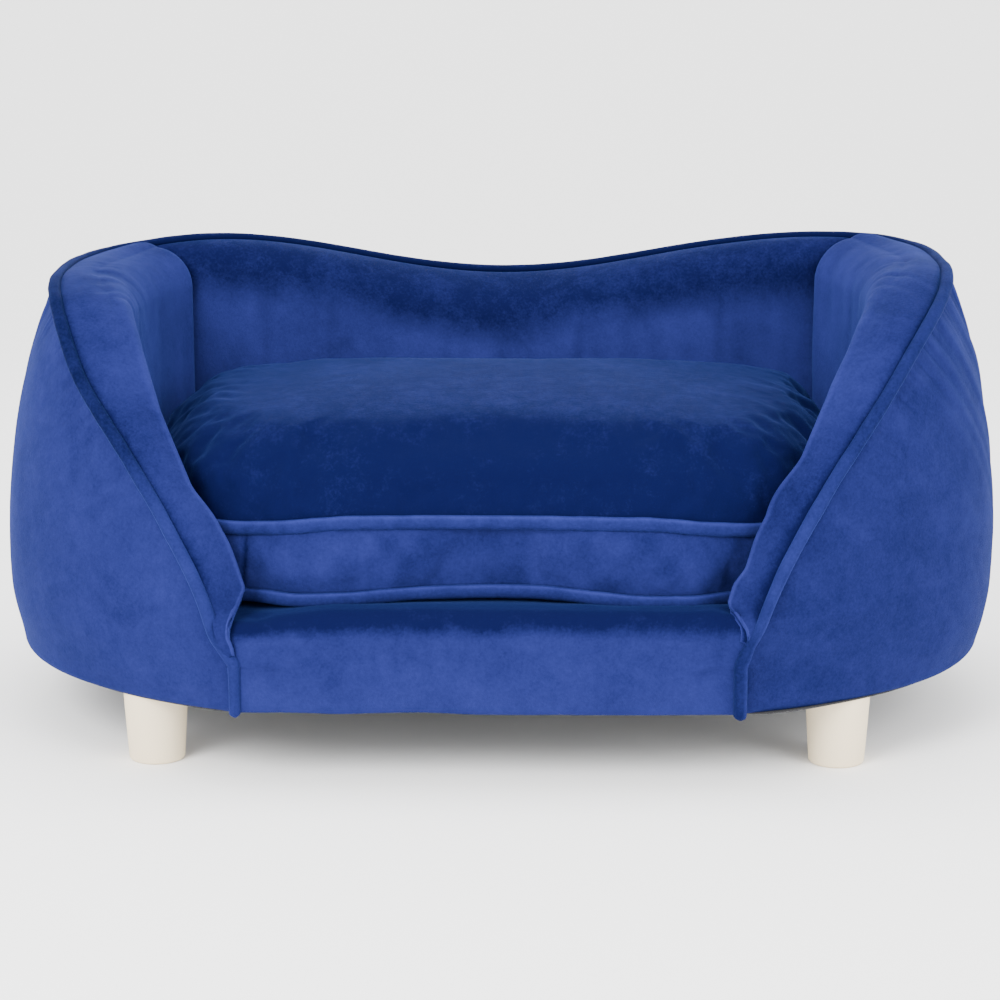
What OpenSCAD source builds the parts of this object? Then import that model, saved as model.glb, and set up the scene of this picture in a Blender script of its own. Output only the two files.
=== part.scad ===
// Small dog sofa bed: an oval velvet tub on four turned wooden feet, with a loose boxed cushion.
// Millimetres. X runs across the sofa, its open front faces -Y, and +Z is up. The origin is on
// the floor under the middle of the sofa.
// Every piece of the upholstered wall is a loft over the same stations. A station is a vertical
// cut through the wall: a point on the widest outer line, the way inward and the depth there.

/* [Overall] */
// Width over the widest line of the outer cover
body_w = 690; // [640:5:760]
// Depth from the seam piping in front to the outer cover behind
body_d = 430; // [400:5:470]
// Height from the floor to the top of the piping at the back corners
body_h = 310; // [290:2:340]

/* [Outer shell] */
// Length of the straight front between the two seams
front_w = 332; // [300:2:360]
// How far the widest line lies behind the middle
middle_back = 10; // [0:1:20]
// Height of the widest line of the side
belly_z = 120; // [100:1:145]
// Radius of the side's curve from hem to rim
belly_r = 445; // [400:5:600]
// Height of the rim where it meets the front seam
tip_z = 84; // [72:1:92]
// How far the rim climbs from the widest line to the back corners
corner_rise = 5; // [0:1:15]
// How far the rim dips at the middle of the back
back_dip = 27; // [10:1:45]
// Distance of the rim's two high points from the widest line
peak_in = 95; // [65:5:125]
// Radius of the piping along the rim and the front seams
pipe_r = 3.5; // [2.5:0.1:4.5]

/* [Arms and back] */
// Depth of an arm at the widest line
arm_t = 91; // [78:1:100]
// Depth of an arm at its front tip
arm_tip_t = 12; // [11:0.5:16]
// Depth of the back at its middle
back_t = 85; // [75:1:95]
// How far an arm's rear end stands in from its widest inner line
arm_rear_in = 28; // [19:1:39]
// How far the joint between an arm and the back leans back towards the outer cover
corner_lean = 30; // [24:1:40]
// Rounding of an arm's inner edge at its rear end
arm_edge_r = 28; // [12:1:32]
// Rounding of the back's inner edge
back_edge_r = 40; // [15:1:42]
// How far the crown of the soft edge stands above its seams
edge_crown = 4; // [1:0.5:7]
// Thickness of the bent board inside the wall
board_panel_t = 4; // [3:0.5:4.5]
// How far the bent board ends below the rim
board_drop = 22; // [20:1:30]
// Thickness of the wadding at the top of the bent board
wadding_t = 4; // [3:0.5:6]

/* [Base] */
// Height of the deck board's top above the floor
deck_z = 100; // [94:1:106]
// Thickness of the deck board
deck_t = 12; // [9:0.5:15]
// Thickness of the rails below the deck board
rail_t = 15; // [12:1:20]
// Thickness of the foam over the deck and in front of the rail
deck_pad_t = 11; // [8:0.5:14]
// Thickness of the foam in front of the rail board
rail_pad_t = 8; // [5:0.5:12]
// Rounding of the front rail's upper edge
rail_edge_r = 14; // [8:1:16]
// How far the velvet of the front rail runs back over the deck
rail_cover_run = 62; // [50:1:80]
// Width of the hem turned under the base
hem_w = 20; // [14:1:26]
// Thickness of the nonwoven cloth under the base and on the deck
lining_t = 0.8; // [0.5:0.1:1.2]

/* [Covers] */
// Thickness of the velvet with its backing
velvet_t = 1.5; // [1:0.1:2]

/* [Feet] */
// Height of a foot
foot_h = 48; // [38:1:60]
// Diameter of a foot at its top
foot_top_d = 43; // [34:1:48]
// Diameter of a foot at the floor
foot_sole_d = 37; // [28:1:44]
// Distance of a front foot's axis from the bent board
foot_in = 17; // [14:1:26]
// Distance of a rear foot's axis from the bent board
rear_foot_in = 17; // [15:1:30]
// Side of the block that holds a foot
block_w = 56; // [46:1:64]
// Diameter of the hanger bolt in a foot
bolt_d = 8; // [6:1:8]

/* [Cushion] */
// Gap between the cushion and the arms
cushion_gap = 10; // [6:1:16]
// Distance of the cushion's front face behind the front of the rail
cushion_set = 37; // [30:1:50]
// Gap between the cushion and the back
cushion_rear_gap = 24; // [24:1:34]
// Height of the boxing between the two seams
boxing_h = 51; // [44:1:60]
// Height of the crown above the upper seam
crown_h = 72; // [50:1:80]
// How far the boxing bulges outward
boxing_bulge = 4; // [1:0.5:5]
// Thickness of the cushion's velvet
case_t = 1.2; // [0.8:0.1:1.6]
// Radius of the cushion's piping
cushion_pipe_r = 3; // [2:0.1:4]

/* [Zip] */
// Length of the zip in the rear boxing
zip_l = 240; // [180:5:280]
// Length of the pull's tab
tab_l = 13; // [9:0.5:13]
// Thickness of the pull's tab
tab_t = 1.2; // [0.9:0.1:1.4]

/* [Hidden] */
$fn = 48;

velvet = [0.13, 0.22, 0.50];
velvet_dark = [0.10, 0.17, 0.42];
foam_white = [0.90, 0.88, 0.80];
board_brown = [0.62, 0.47, 0.31];
pine = [0.80, 0.66, 0.45];
pale_wood = [0.89, 0.85, 0.77];
steel = [0.62, 0.63, 0.65];
lining_black = [0.10, 0.10, 0.11];

// Gap between a soft piece and what it lies on, between a cover of the wall and the padding behind
// it, between the bent board's top and the foam's lip, between the piping and the covers beside
// it, and round a bolt
soft_gap = 0.3;
pad_gap = 1.2;
lip_gap = 1.2;
pipe_gap = 1.2;
bolt_gap = 0.05;
over = 1;

// Shape of the plan's curves: 2 is an ellipse, more is squarer
front_round = 2.2;
rear_round = 3.3;
inner_round = 2.15;
// Shape of the rim's climb along an arm
climb = 0.576;

half_w = body_w/2;
seam_x = front_w/2;
front_y = -body_d/2 + pipe_r;
rear_b = body_d/2 - middle_back;
back_y = body_d/2 - back_t;
peak_z = body_h - pipe_r;
side_z = peak_z - corner_rise;
peak_x = half_w - peak_in;

// Front half of the outer plan: the curve that passes through the front seam
front_b = (middle_back - front_y)/pow(1 - pow(seam_x/half_w, front_round), 1/front_round);
seam_angle = asin(pow((middle_back - front_y)/front_b, front_round/2));

// Inner plan of the arms: through the arm's front tip, and through its rear end
inner_a = half_w - arm_t;
tip_y = front_y + arm_tip_t;
inner_b = (middle_back - tip_y)/pow(1 - pow(seam_x/inner_a, inner_round), 1/inner_round);
tip_angle = asin(pow((middle_back - tip_y)/inner_b, inner_round/2));
arm_rear_x = inner_a - arm_rear_in;
inner_rear_b = (back_y - middle_back)/sqrt(1 - pow(arm_rear_x/inner_a, 2));

// Heights of the base, from the feet up
hem_z = foot_h + lining_t + soft_gap;
frame_z = hem_z + velvet_t + soft_gap;
board_z = deck_z - deck_t;
deck_pad_top = deck_z + soft_gap + deck_pad_t;
deck_top = deck_pad_top + soft_gap + velvet_t;
rail_y = front_y + velvet_t + soft_gap + rail_pad_t + soft_gap;
rail_end_x = seam_x - pipe_r - soft_gap;
rail_back_y = front_y + rail_cover_run;

// Steps along an arm's front part, its rear part, the back and the height of the wall
arm_steps = 12;
arm_rear_steps = 3;
back_steps = 16;
side_steps = 8;
edge_steps = 4;
board_first = 2;

function inset(z) = belly_r - sqrt(belly_r*belly_r - pow(z - belly_z, 2));
function climb_z(s) = tip_z + (side_z - tip_z)*pow(1 - pow(1 - s, 2), climb);
function rim_z(x) = x > peak_x
    ? side_z + corner_rise*pow(sin(90*(half_w - x)/(half_w - peak_x)), 2)
    : peak_z - back_dip*pow(cos(90*x/peak_x), 2);

// Points of the outer and the inner plan along an arm, s from 0 at the seam to 1 at the widest
function outer_at(s) = let (a = seam_angle*(1 - s))
    [-half_w*pow(cos(a), 2/front_round), middle_back - front_b*pow(sin(a), 2/front_round)];
function inner_at(s) = let (a = tip_angle*(1 - s))
    [-inner_a*pow(cos(a), 2/inner_round), middle_back - inner_b*pow(sin(a), 2/inner_round)];

// A station: outer point, inward direction, depth, rim height, share of the way along the arm,
// and how much longer a step square to the inner face is when it is measured along the station
function station(o, i, z, s, skew = 1) = let (d = i - o, t = norm(d))
    [o.x, o.y, d.x/t, d.y/t, t, z, s, skew];
function at(st, u, z) = [st[0] + st[2]*u, st[1] + st[3]*u, z];
function depth(st) = st[4];
function rim(st) = st[5];
function along(st) = st[6];
function skew(st) = st[7];
function mirrored(st) = [-st[0], st[1], -st[2], st[3], st[4], st[5], st[6], st[7]];
function turned(list) = [for (i = [len(list) - 1:-1:0]) list[i]];

// The covers start beside the seam piping, not under it
seam_step = norm(outer_at(0.01) - outer_at(0))/0.01;
first_s = (pipe_r + pipe_gap)/seam_step;
function arm_share(i) = first_s + (1 - first_s)*pow(i/arm_steps, 1.5);

arm_front = [for (i = [0:arm_steps]) let (s = arm_share(i))
    station(outer_at(s), inner_at(s), climb_z(s), s)];
function rear_x(y) = half_w*pow(1 - pow((y - middle_back)/rear_b, rear_round), 1/rear_round);
arm_rear = [for (i = [1:arm_rear_steps]) let (
    f = i/arm_rear_steps,
    y = middle_back + (back_y + corner_lean - middle_back)*f,
    yi = middle_back + (back_y - middle_back)*f,
    xi = inner_a*sqrt(1 - pow((yi - middle_back)/inner_rear_b, 2)))
    station([-rear_x(y), y], [-xi, yi], rim_z(rear_x(y)), 1)];
arm = concat(arm_front, arm_rear);

// Stations of the back, by their share of the way from the left arm's rear end to the right one's.
// The padding and the cover of the back end a gap behind the arms'.
function rear_radius(a) = pow(pow(abs(cos(a))/half_w, rear_round) + pow(abs(sin(a))/rear_b,
    rear_round), -1/rear_round);
function back_station(gap, share) = let (
    y = back_y + corner_lean + gap,
    x = rear_x(y),
    first = atan2(y - middle_back, x),
    a = first + (180 - 2*first)*share,
    r = rear_radius(a),
    o = [-r*cos(a), middle_back + r*sin(a)],
    n = [o.x/x*arm_rear_x, back_y + gap])
    station(o, n, rim_z(abs(o.x)), 1, norm(n - o)/(o.y - n.y));
back_chain = [for (i = [0:back_steps]) back_station(0, i/back_steps)];
back_inner = [for (i = [1:back_steps - 1]) back_chain[i]];
back = concat([back_station(soft_gap, 0)], back_inner, [back_station(soft_gap, 1)]);
chain = concat(arm, back_inner, turned([for (st = arm) mirrored(st)]));

// Heights that follow the rim: the bent board's top and its place in the wall
function panel_z(st) = rim(st) - board_drop;
function panel_u(st) = max(inset(frame_z), inset(max(panel_z(st), belly_z))) + velvet_t
    + wadding_t;
function behind_panel_u(st) = panel_u(st) + board_panel_t + soft_gap;

// Centre line of the piping: up the front seam, round the rim and down the other seam
function rim_point(st) = at(st, inset(rim(st)), rim(st));
function seam_station(s) = station(outer_at(s), inner_at(s), climb_z(s), s);
seam_foot = seam_station(0);
seam_bottom_z = foot_h - lining_t;
low_seam = [[each at(seam_foot, 0, seam_bottom_z), seam_foot], [each at(seam_foot, 0, tip_z),
    seam_foot]];
half_line = concat(
    [for (k = [1:3]) let (st = seam_station(first_s*k/4)) [each rim_point(st), st]],
    [for (st = arm) [each rim_point(st), st]]);
function mirrored_line(list) = [for (p = turned(list)) [-p[0], p[1], p[2], mirrored(p[3])]];
piping_line = concat(low_seam, half_line, [for (st = back_inner) [each rim_point(st), st]],
    mirrored_line(concat(low_seam, half_line)));

// Highest level of the outer cover at a station that stays clear of the piping
line_parts = 8;
half_piping = [for (i = [0:len(low_seam) + len(half_line) + back_steps/2 - 1]) piping_line[i]];
fine_line = [for (i = [0:len(half_piping) - 2], k = [0:line_parts - 1])
    let (p = half_piping[i], q = half_piping[i + 1], f = k/line_parts)
    [p[0] + (q[0] - p[0])*f, p[1] + (q[1] - p[1])*f, p[2] + (q[2] - p[2])*f]];
clear_r = pipe_r + pipe_gap;
function under_rim(st) = let (x = -abs(st[0]), in_x = st[0] > 0 ? -st[2] : st[2])
    min(rim(st) - clear_r,
        min([for (p = fine_line) let (
            u = inset(p[2]),
            away = norm([x + in_x*u - p[0], st[1] + st[3]*u - p[1]]))
            away < clear_r ? p[2] - sqrt(clear_r*clear_r - away*away) : body_h]));

// Lofts. A ring lists a section's points up the outside and down the inside. A shell's inner face
// is split along the same diagonals as its outer face, so that the two stay parallel.
module loft(rings, closed = false, shell = false) {
    n = len(rings[0]);
    m = len(rings);
    last = closed ? m - 1 : m - 2;
    sides = [for (i = [0:last], j = [0:n - 1]) let (
        k = (i + 1)%m,
        l = (j + 1)%n)
        each shell && j >= n/2
            ? [[i*n + j, k*n + j, i*n + l], [k*n + j, k*n + l, i*n + l]]
            : [[i*n + j, k*n + j, k*n + l], [i*n + j, k*n + l, i*n + l]]];
    cap = shell
        ? [for (j = [0:n/2 - 2]) each [[j, j + 1, n - 2 - j], [j, n - 2 - j, n - 1 - j]]]
        : [[for (j = [0:n - 1]) j]];
    ends = closed ? [] : concat(cap, [for (f = cap) [for (v = turned(f)) v + (m - 1)*n]]);
    polyhedron(points = [for (r = rings) each r], faces = concat(sides, ends));
}

// A round cord along points that each carry the way inward
function unit(v) = v/norm(v);
module cord(line, radius, sides, closed = false) {
    m = len(line);
    rings = [for (i = [0:m - 1]) let (
        p = line[i],
        before = closed ? line[(i + m - 1)%m] : line[max(i - 1, 0)],
        after = closed ? line[(i + 1)%m] : line[min(i + 1, m - 1)],
        t = unit([after[0] - before[0], after[1] - before[1], after[2] - before[2]]),
        e = [p[3][2], p[3][3], 0],
        a = unit(e - t*(e*t)),
        b = cross(t, a))
        [for (k = [0:sides - 1]) let (w = 360*k/sides)
            [p[0], p[1], p[2]] - radius*(cos(w)*a + sin(w)*b)]];
    loft(rings, closed);
}

// Section of a skin from its outer line, thickened inward by moving each point by d
function skin_ring(st, outer_line, inner_line) =
    [for (p = concat(outer_line, turned(inner_line))) at(st, p.x, p.y)];

// Outer cover: up from the hem turned under the base to just below the piping
function side_line(st, low, high, d) = [for (i = [0:side_steps])
    let (z = low + (high - low)*i/side_steps) [inset(z) + d, z]];
function cover_ring(st) = let (
    top = under_rim(st),
    out = side_line(st, hem_z, top, 0),
    in = side_line(st, hem_z + velvet_t, top, velvet_t),
    hem = min(hem_w, depth(st) - inset(hem_z) - velvet_t))
    skin_ring(st, concat([[inset(hem_z) + hem, hem_z]], out),
        concat([[inset(hem_z) + hem, hem_z + velvet_t]], in));
module outer_cover() {
    color(velvet)
        loft([for (st = chain) cover_ring(st)], shell = true);
}

// Wadding between the outer cover and the bent board
function wadding_ring(st) = let (
    top = min(panel_z(st), min(under_rim(st), tuck_z(st)) - soft_gap),
    out = side_line(st, frame_z, top, velvet_t + pad_gap),
    in = panel_u(st) - soft_gap)
    [for (p = concat(out, [[in, top], [in, frame_z]])) at(st, p.x, p.y)];
module wadding(stations) {
    color(foam_white)
        loft([for (st = stations) wadding_ring(st)]);
}
module outer_wadding_left() wadding(arm);
module outer_wadding_right() mirror([1, 0, 0]) outer_wadding_left();
module outer_wadding_back() wadding(back);

// Bent hardboard that carries the wall, stapled to the deck board's edge
module wall_board(stations) {
    color(board_brown)
        loft([for (st = stations) let (u = panel_u(st), v = u + board_panel_t, z = panel_z(st))
            [at(st, u, frame_z), at(st, u, z), at(st, v, z), at(st, v, frame_z)]]);
}
arm_board = [for (i = [board_first:len(arm) - 1]) arm[i]];
module wall_board_left() wall_board(arm_board);
module wall_board_right() mirror([1, 0, 0]) wall_board_left();
module wall_board_back() wall_board(back);

// The soft edge's outline in a section: from beside the piping over the crown, round the inner
// edge and down the inner face. It is drawn d inside the finished surface.
front_edge_share = 0.45;
rear_edge_share = 0.8;
front_edge_r = 6;
crease_low = 9;
arm_fall = 2;
back_fall = 10;
function edge_u(st) = inset(rim(st)) + pipe_r + pipe_gap;
function edge_r(st, full) = front_edge_r + (full - front_edge_r)*pow(along(st), 2);
function edge_share(st) = front_edge_share + (rear_edge_share - front_edge_share)*along(st);
function crease_z(st, fall) = max(rim(st) - fall, deck_top + crease_low);
function along_crown(st) = min(1, (depth(st) - arm_tip_t)/arm_tip_t);
function crown_z(st, f, low) = rim(st) + (low - rim(st))*f
    + edge_crown*sin(150*f)*along_crown(st);
function edge_line(st, d, foot_z, low_z, full, fall) = let (
    u0 = edge_u(st),
    u1 = depth(st),
    r = min(edge_r(st, full), (u1 - u0)*edge_share(st)),
    flat = u1 - r - u0,
    low = crease_z(st, fall),
    first = d/flat)
    concat([[u0 + d, low_z]],
        [for (i = [0:edge_steps]) let (f = first + (1 - first)*i/edge_steps)
            [u0 + flat*f, crown_z(st, f, low) - d]],
        [for (i = [1:edge_steps]) let (a = 90*i/edge_steps)
            [u1 - r + (r - d*skew(st))*sin(a), crown_z(st, 1, low) - r + (r - d)*cos(a)]],
        [[u1 - d*skew(st), foot_z]]);

// Velvet over the arms' and the back's soft edge
function tuck_z(st) = along(st) <= first_s ? tip_z + soft_gap : rim(st) - pipe_r - soft_gap;
function edge_cover_ring(st, full, fall) = let (foot_z = deck_z + soft_gap)
    skin_ring(st, edge_line(st, 0, foot_z, tuck_z(st), full, fall),
        edge_line(st, velvet_t, foot_z, tuck_z(st), full, fall));
module edge_cover(stations, full, fall) {
    color(velvet)
        loft([for (st = stations) edge_cover_ring(st, full, fall)], shell = true);
}
module arm_cover_left() edge_cover(arm, arm_edge_r, arm_fall);
module arm_cover_right() mirror([1, 0, 0]) arm_cover_left();
module back_cover() edge_cover(back, back_edge_r, back_fall);

// Foam inside the soft edge: an upright pad with a lip over the top of the bent board
function pad_ring(st, full, fall) = let (
    d = velvet_t + pad_gap,
    low = panel_z(st) + lip_gap,
    high = min(under_rim(st), tuck_z(st)) - soft_gap,
    line = edge_line(st, d, deck_z + soft_gap, high, full, fall))
    [for (p = concat([[behind_panel_u(st), deck_z + soft_gap], [behind_panel_u(st), low],
        [inset(low) + d, low], [inset(high) + d, high]], line)) at(st, p.x, p.y)];
module edge_pad(stations, full, fall) {
    color(foam_white)
        loft([for (st = stations) pad_ring(st, full, fall)]);
}
module arm_pad_left() edge_pad(arm_board, arm_edge_r, arm_fall);
module arm_pad_right() mirror([1, 0, 0]) arm_pad_left();
module back_pad() edge_pad(back, back_edge_r, back_fall);

// Piping along the front seams and the whole rim
pipe_sides = 8;
module rim_piping() {
    color(velvet_dark)
        cord(piping_line, pipe_r, pipe_sides);
}

// Plans of the deck board inside the bent boards, and of the deck between the arms
function plan(list) = concat(list, [for (p = turned(list)) [-p.x, p.y]]);
function flat(p) = [p.x, p.y];
half_back = [for (i = [0:back_steps/2 - 1]) back_chain[i]];
board_plan = plan(concat([[-rail_end_x, rail_y]],
    [for (st = concat(arm_board, half_back)) flat(at(st, behind_panel_u(st), 0))]));
well_plan = plan(concat([[-rail_end_x, front_y - over], [-rail_end_x, front_y + clear_r]],
    [for (st = concat(arm, [back_chain[0]])) flat(at(st, depth(st) + soft_gap, 0))]));
hem_plan = plan(concat([[-rail_end_x, front_y + hem_w/2]],
    [for (st = concat(arm_board, half_back)) flat(at(st, inset(hem_z) + hem_w/2, 0))]));

// Feet: where they stand, and what holds them
foot_share = 0.33;
rear_foot_share = 0.04;
function inside_board(st, d) = at(st, behind_panel_u(st) + d, 0);
front_foot = inside_board(seam_station(foot_share), foot_in);
rear_foot = inside_board(back_station(0, rear_foot_share), rear_foot_in);
foot_spots = [for (sx = [1, -1], p = [front_foot, rear_foot]) [sx*p.x, p.y, 0]];
bolt_r = bolt_d/2;
nut_wall = 1.2;
nut_l = 10;
nut_flange_r = bolt_d;
nut_flange_t = 1.6;
nut_r = bolt_r + nut_wall;
bolt_in_foot = 30;
bolt_top_gap = 3;
foot_edge_r = 2;
foot_edge_steps = 5;

module deck_board() {
    color(pine)
        translate([0, 0, board_z])
            linear_extrude(deck_t)
                polygon(board_plan);
}

// Battens below the deck board, cut to its outline
module batten(x0, x1, y0, y1) {
    color(pine)
        translate([0, 0, frame_z])
            linear_extrude(board_z - frame_z)
                intersection() {
                    polygon(board_plan);
                    translate([x0, y0])
                        square([x1 - x0, y1 - y0]);
                }
}
back_rail_y = at(back_chain[back_steps/2], behind_panel_u(back_chain[back_steps/2]), 0).y
    - rail_t;
between_blocks_x = min(abs(front_foot.x), abs(rear_foot.x)) - block_w/2 - soft_gap;
side_rail_x = min(between_blocks_x, rail_end_x) - rail_t;
back_rail_x = min(between_blocks_x, seam_x);
module front_rail_board() batten(-rail_end_x, rail_end_x, rail_y, rail_y + rail_t);
module back_rail_board() batten(-back_rail_x, back_rail_x, back_rail_y - rail_t, back_rail_y);
module side_rail_left() batten(-side_rail_x - rail_t, -side_rail_x, rail_y + rail_t,
    back_rail_y - rail_t);
module side_rail_right() mirror([1, 0, 0]) side_rail_left();
module centre_rail() batten(-rail_t/2, rail_t/2, rail_y + rail_t, back_rail_y - rail_t);

// Corner blocks with a bore for the hanger bolt and a seat for the T-nut
module foot_blocks() {
    color(pine)
        difference() {
            for (p = foot_spots)
                translate([0, 0, frame_z])
                    linear_extrude(board_z - frame_z)
                        intersection() {
                            polygon(board_plan);
                            translate([p.x - block_w/2, p.y - block_w/2])
                                square(block_w);
                        }
            for (p = foot_spots) {
                translate([p.x, p.y, frame_z - over])
                    cylinder(r = bolt_r + bolt_gap, h = board_z - frame_z + 2*over);
                translate([p.x, p.y, board_z - nut_l])
                    cylinder(r = nut_r + bolt_gap, h = nut_l + over);
                translate([p.x, p.y, board_z - nut_flange_t])
                    cylinder(r = nut_flange_r + bolt_gap, h = nut_flange_t + over);
            }
        }
}

module t_nuts() {
    color(steel)
        for (p = foot_spots)
            translate([p.x, p.y, board_z - nut_l])
                difference() {
                    union() {
                        cylinder(r = nut_r, h = nut_l);
                        translate([0, 0, nut_l - nut_flange_t])
                            cylinder(r = nut_flange_r, h = nut_flange_t);
                    }
                    translate([0, 0, -over])
                        cylinder(r = bolt_r + bolt_gap, h = nut_l + 2*over);
                }
}

module hanger_bolts() {
    color(steel)
        for (p = foot_spots)
            translate([p.x, p.y, foot_h - bolt_in_foot])
                cylinder(r = bolt_r, h = board_z - bolt_top_gap - foot_h + bolt_in_foot);
}

// A turned, tapered foot with eased edges and a blind hole for its bolt
foot_profile = concat([[0, 0]],
    [for (i = [0:foot_edge_steps]) let (a = 90*i/foot_edge_steps)
        [foot_sole_d/2 - foot_edge_r + foot_edge_r*sin(a), foot_edge_r*(1 - cos(a))]],
    [[foot_top_d/2, foot_h], [0, foot_h]]);
module foot(spot) {
    color(pale_wood)
        translate(spot)
            difference() {
                rotate_extrude()
                    polygon(foot_profile);
                translate([0, 0, foot_h - bolt_in_foot])
                    cylinder(r = bolt_r + bolt_gap, h = bolt_in_foot + over);
            }
}
module foot_front_left() foot(foot_spots[0]);
module foot_rear_left() foot(foot_spots[1]);
module foot_front_right() foot(foot_spots[2]);
module foot_rear_right() foot(foot_spots[3]);

// Nonwoven cloth that closes the underside, held between the feet and the hem
module dust_cover() {
    color(lining_black)
        translate([0, 0, foot_h])
            linear_extrude(lining_t)
                difference() {
                    polygon(hem_plan);
                    for (p = foot_spots)
                        translate([p.x, p.y])
                            circle(r = bolt_r + bolt_gap);
                }
}

// Front rail: foam and velvet from under the base over the rounded edge to the deck
rail_arc_steps = 6;
function rail_line(d, low, run) = let (r = rail_edge_r - d, y = front_y + d, z = deck_top - d)
    concat([[y, low]],
        [for (i = [0:rail_arc_steps]) let (a = 90*i/rail_arc_steps)
            [y + r*(1 - cos(a)), z - r*(1 - sin(a))]],
        [[run, z]]);
module along_rail(profile) {
    intersection() {
        translate([-half_w, 0, 0])
            rotate([90, 0, 90])
                linear_extrude(body_w)
                    polygon(profile);
        linear_extrude(body_h)
            polygon(well_plan);
    }
}
module rail_pad() {
    d = velvet_t + soft_gap;
    color(foam_white)
        along_rail(concat(rail_line(d, frame_z, rail_back_y),
            [[rail_back_y, deck_z + soft_gap], [rail_y - soft_gap, deck_z + soft_gap],
                [rail_y - soft_gap, frame_z]]));
}
module rail_cover() {
    color(velvet)
        along_rail(concat([[front_y + hem_w, hem_z]], rail_line(0, hem_z, rail_back_y),
            turned(rail_line(velvet_t, hem_z + velvet_t, rail_back_y)),
            [[front_y + hem_w, hem_z + velvet_t]]));
}

// Foam and cloth over the rest of the deck
module on_deck(z, t) {
    translate([0, 0, z])
        linear_extrude(t)
            intersection() {
                polygon(well_plan);
                translate([-half_w, rail_back_y + soft_gap])
                    square([body_w, body_d]);
            }
}
module deck_pad() {
    color(foam_white)
        on_deck(deck_z + soft_gap, deck_pad_t);
}
module deck_cloth() {
    color(lining_black)
        on_deck(deck_pad_top + soft_gap, lining_t);
}

// Cushion. Its plan follows the arms, cut by straight front and rear faces with soft corners.
corner_sharp = 14;
cushion_a = inner_a - cushion_gap;
cushion_front_b = inner_b - cushion_gap;
cushion_rear_b = inner_rear_b - cushion_gap;
cushion_front = middle_back - front_y - cushion_set;
cushion_rear = back_y - cushion_rear_gap - middle_back;
function cushion_radius(a, w) = let (
    rear = sin(a) > 0,
    n = rear ? 2 : inner_round,
    b = (rear ? cushion_rear_b : cushion_front_b) - w,
    cut = (rear ? cushion_rear : cushion_front) - w,
    oval = pow(pow(abs(cos(a))/(cushion_a - w), n) + pow(abs(sin(a))/b, n), 1/n))
    pow(pow(oval, corner_sharp) + pow(abs(sin(a))/cut, corner_sharp), -1/corner_sharp);
// Directions from the side to a corner and from the corner to the middle of a face, bunched
// where the plan turns
to_corner_shares = [0.16, 0.5, 0.8, 0.95];
from_corner_shares = [0.05, 0.2, 0.48, 0.82];
function corner_angle(cut, b, n) = atan2(cut, cushion_a*pow(1 - pow(cut/b, n), 1/n));
rear_corner = corner_angle(cushion_rear, cushion_rear_b, 2);
front_corner = corner_angle(cushion_front, cushion_front_b, inner_round);
function quarter(corner) = concat([for (f = to_corner_shares) corner*f],
    [for (f = from_corner_shares) corner + (90 - corner)*f]);
cushion_angles = concat(quarter(rear_corner), [for (a = turned(quarter(rear_corner))) 180 - a],
    [for (a = quarter(front_corner)) 180 + a], [for (a = turned(quarter(front_corner))) 360 - a]);
function cushion_at(a, w, f, z) = let (r = cushion_radius(a, w)*f)
    [r*cos(a), middle_back + r*sin(a), z];
function cushion_ring(w, f, z) = [for (a = cushion_angles) cushion_at(a, w, f, z)];

cushion_z = deck_top + soft_gap;
low_seam_z = cushion_z + cushion_pipe_r;
high_seam_z = low_seam_z + boxing_h;
panel_w = 2*cushion_pipe_r + soft_gap;
core_w = panel_w + case_t + soft_gap;
dome_shares = [1, 0.994, 0.96, 0.86, 0.64, 0.3];
dome_full = 2;
dome_edge = 0.19;
function dome_z(f) = crown_h*pow(1 - pow(f, dome_full), dome_edge);

module cushion_top_panel() {
    out = [for (f = dome_shares) cushion_ring(panel_w, f, high_seam_z + dome_z(f))];
    in = [for (f = dome_shares) cushion_ring(panel_w + case_t, f,
        high_seam_z - case_t + dome_z(f))];
    color(velvet)
        loft(concat(turned(in), out));
}

// Inward distance of the boxing's outer face, t from 0 at the lower seam to 1 at the upper
boxing_levels = [0, 0.25, 0.5, 0.75, 1];
boxing_low = low_seam_z + cushion_pipe_r + soft_gap;
boxing_high = high_seam_z - cushion_pipe_r - soft_gap;
function boxing_z(t) = boxing_low + (boxing_high - boxing_low)*t;
function boxing_w(t) = boxing_bulge*(1 - sin(180*t));
module cushion_boxing() {
    color(velvet)
        loft([for (a = turned(cushion_angles)) concat(
            [for (t = boxing_levels) cushion_at(a, boxing_w(t), 1, boxing_z(t))],
            [for (t = turned(boxing_levels)) cushion_at(a, boxing_w(t) + case_t, 1,
                boxing_z(t))])], closed = true);
}

core_levels = [0.1, 0.5, 0.9];
module cushion_core() {
    side = [for (t = core_levels) let (f = pow(2*t - 1, 2))
        cushion_ring((boxing_w(t) + case_t + soft_gap)*(1 - f) + core_w*f, 1, boxing_z(t))];
    dome = [for (f = dome_shares) cushion_ring(core_w, f,
        high_seam_z - case_t - soft_gap + dome_z(f))];
    color(foam_white)
        loft(concat([cushion_ring(core_w, 1, cushion_z + case_t + soft_gap)], side, dome));
}

module cushion_bottom_panel() {
    color(velvet)
        translate([0, 0, cushion_z])
            linear_extrude(case_t)
                polygon([for (p = cushion_ring(panel_w, 1, 0)) flat(p)]);
}

// Piping sewn into both seams of the cushion
cushion_pipe_sides = 5;
module cushion_piping(z) {
    color(velvet_dark)
        cord([for (a = turned(cushion_angles)) [each cushion_at(a, cushion_pipe_r, 1, z),
            [0, 0, -cos(a), -sin(a)]]], cushion_pipe_r, cushion_pipe_sides, true);
}
module cushion_piping_top() cushion_piping(high_seam_z);
module cushion_piping_bottom() cushion_piping(low_seam_z);

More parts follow.
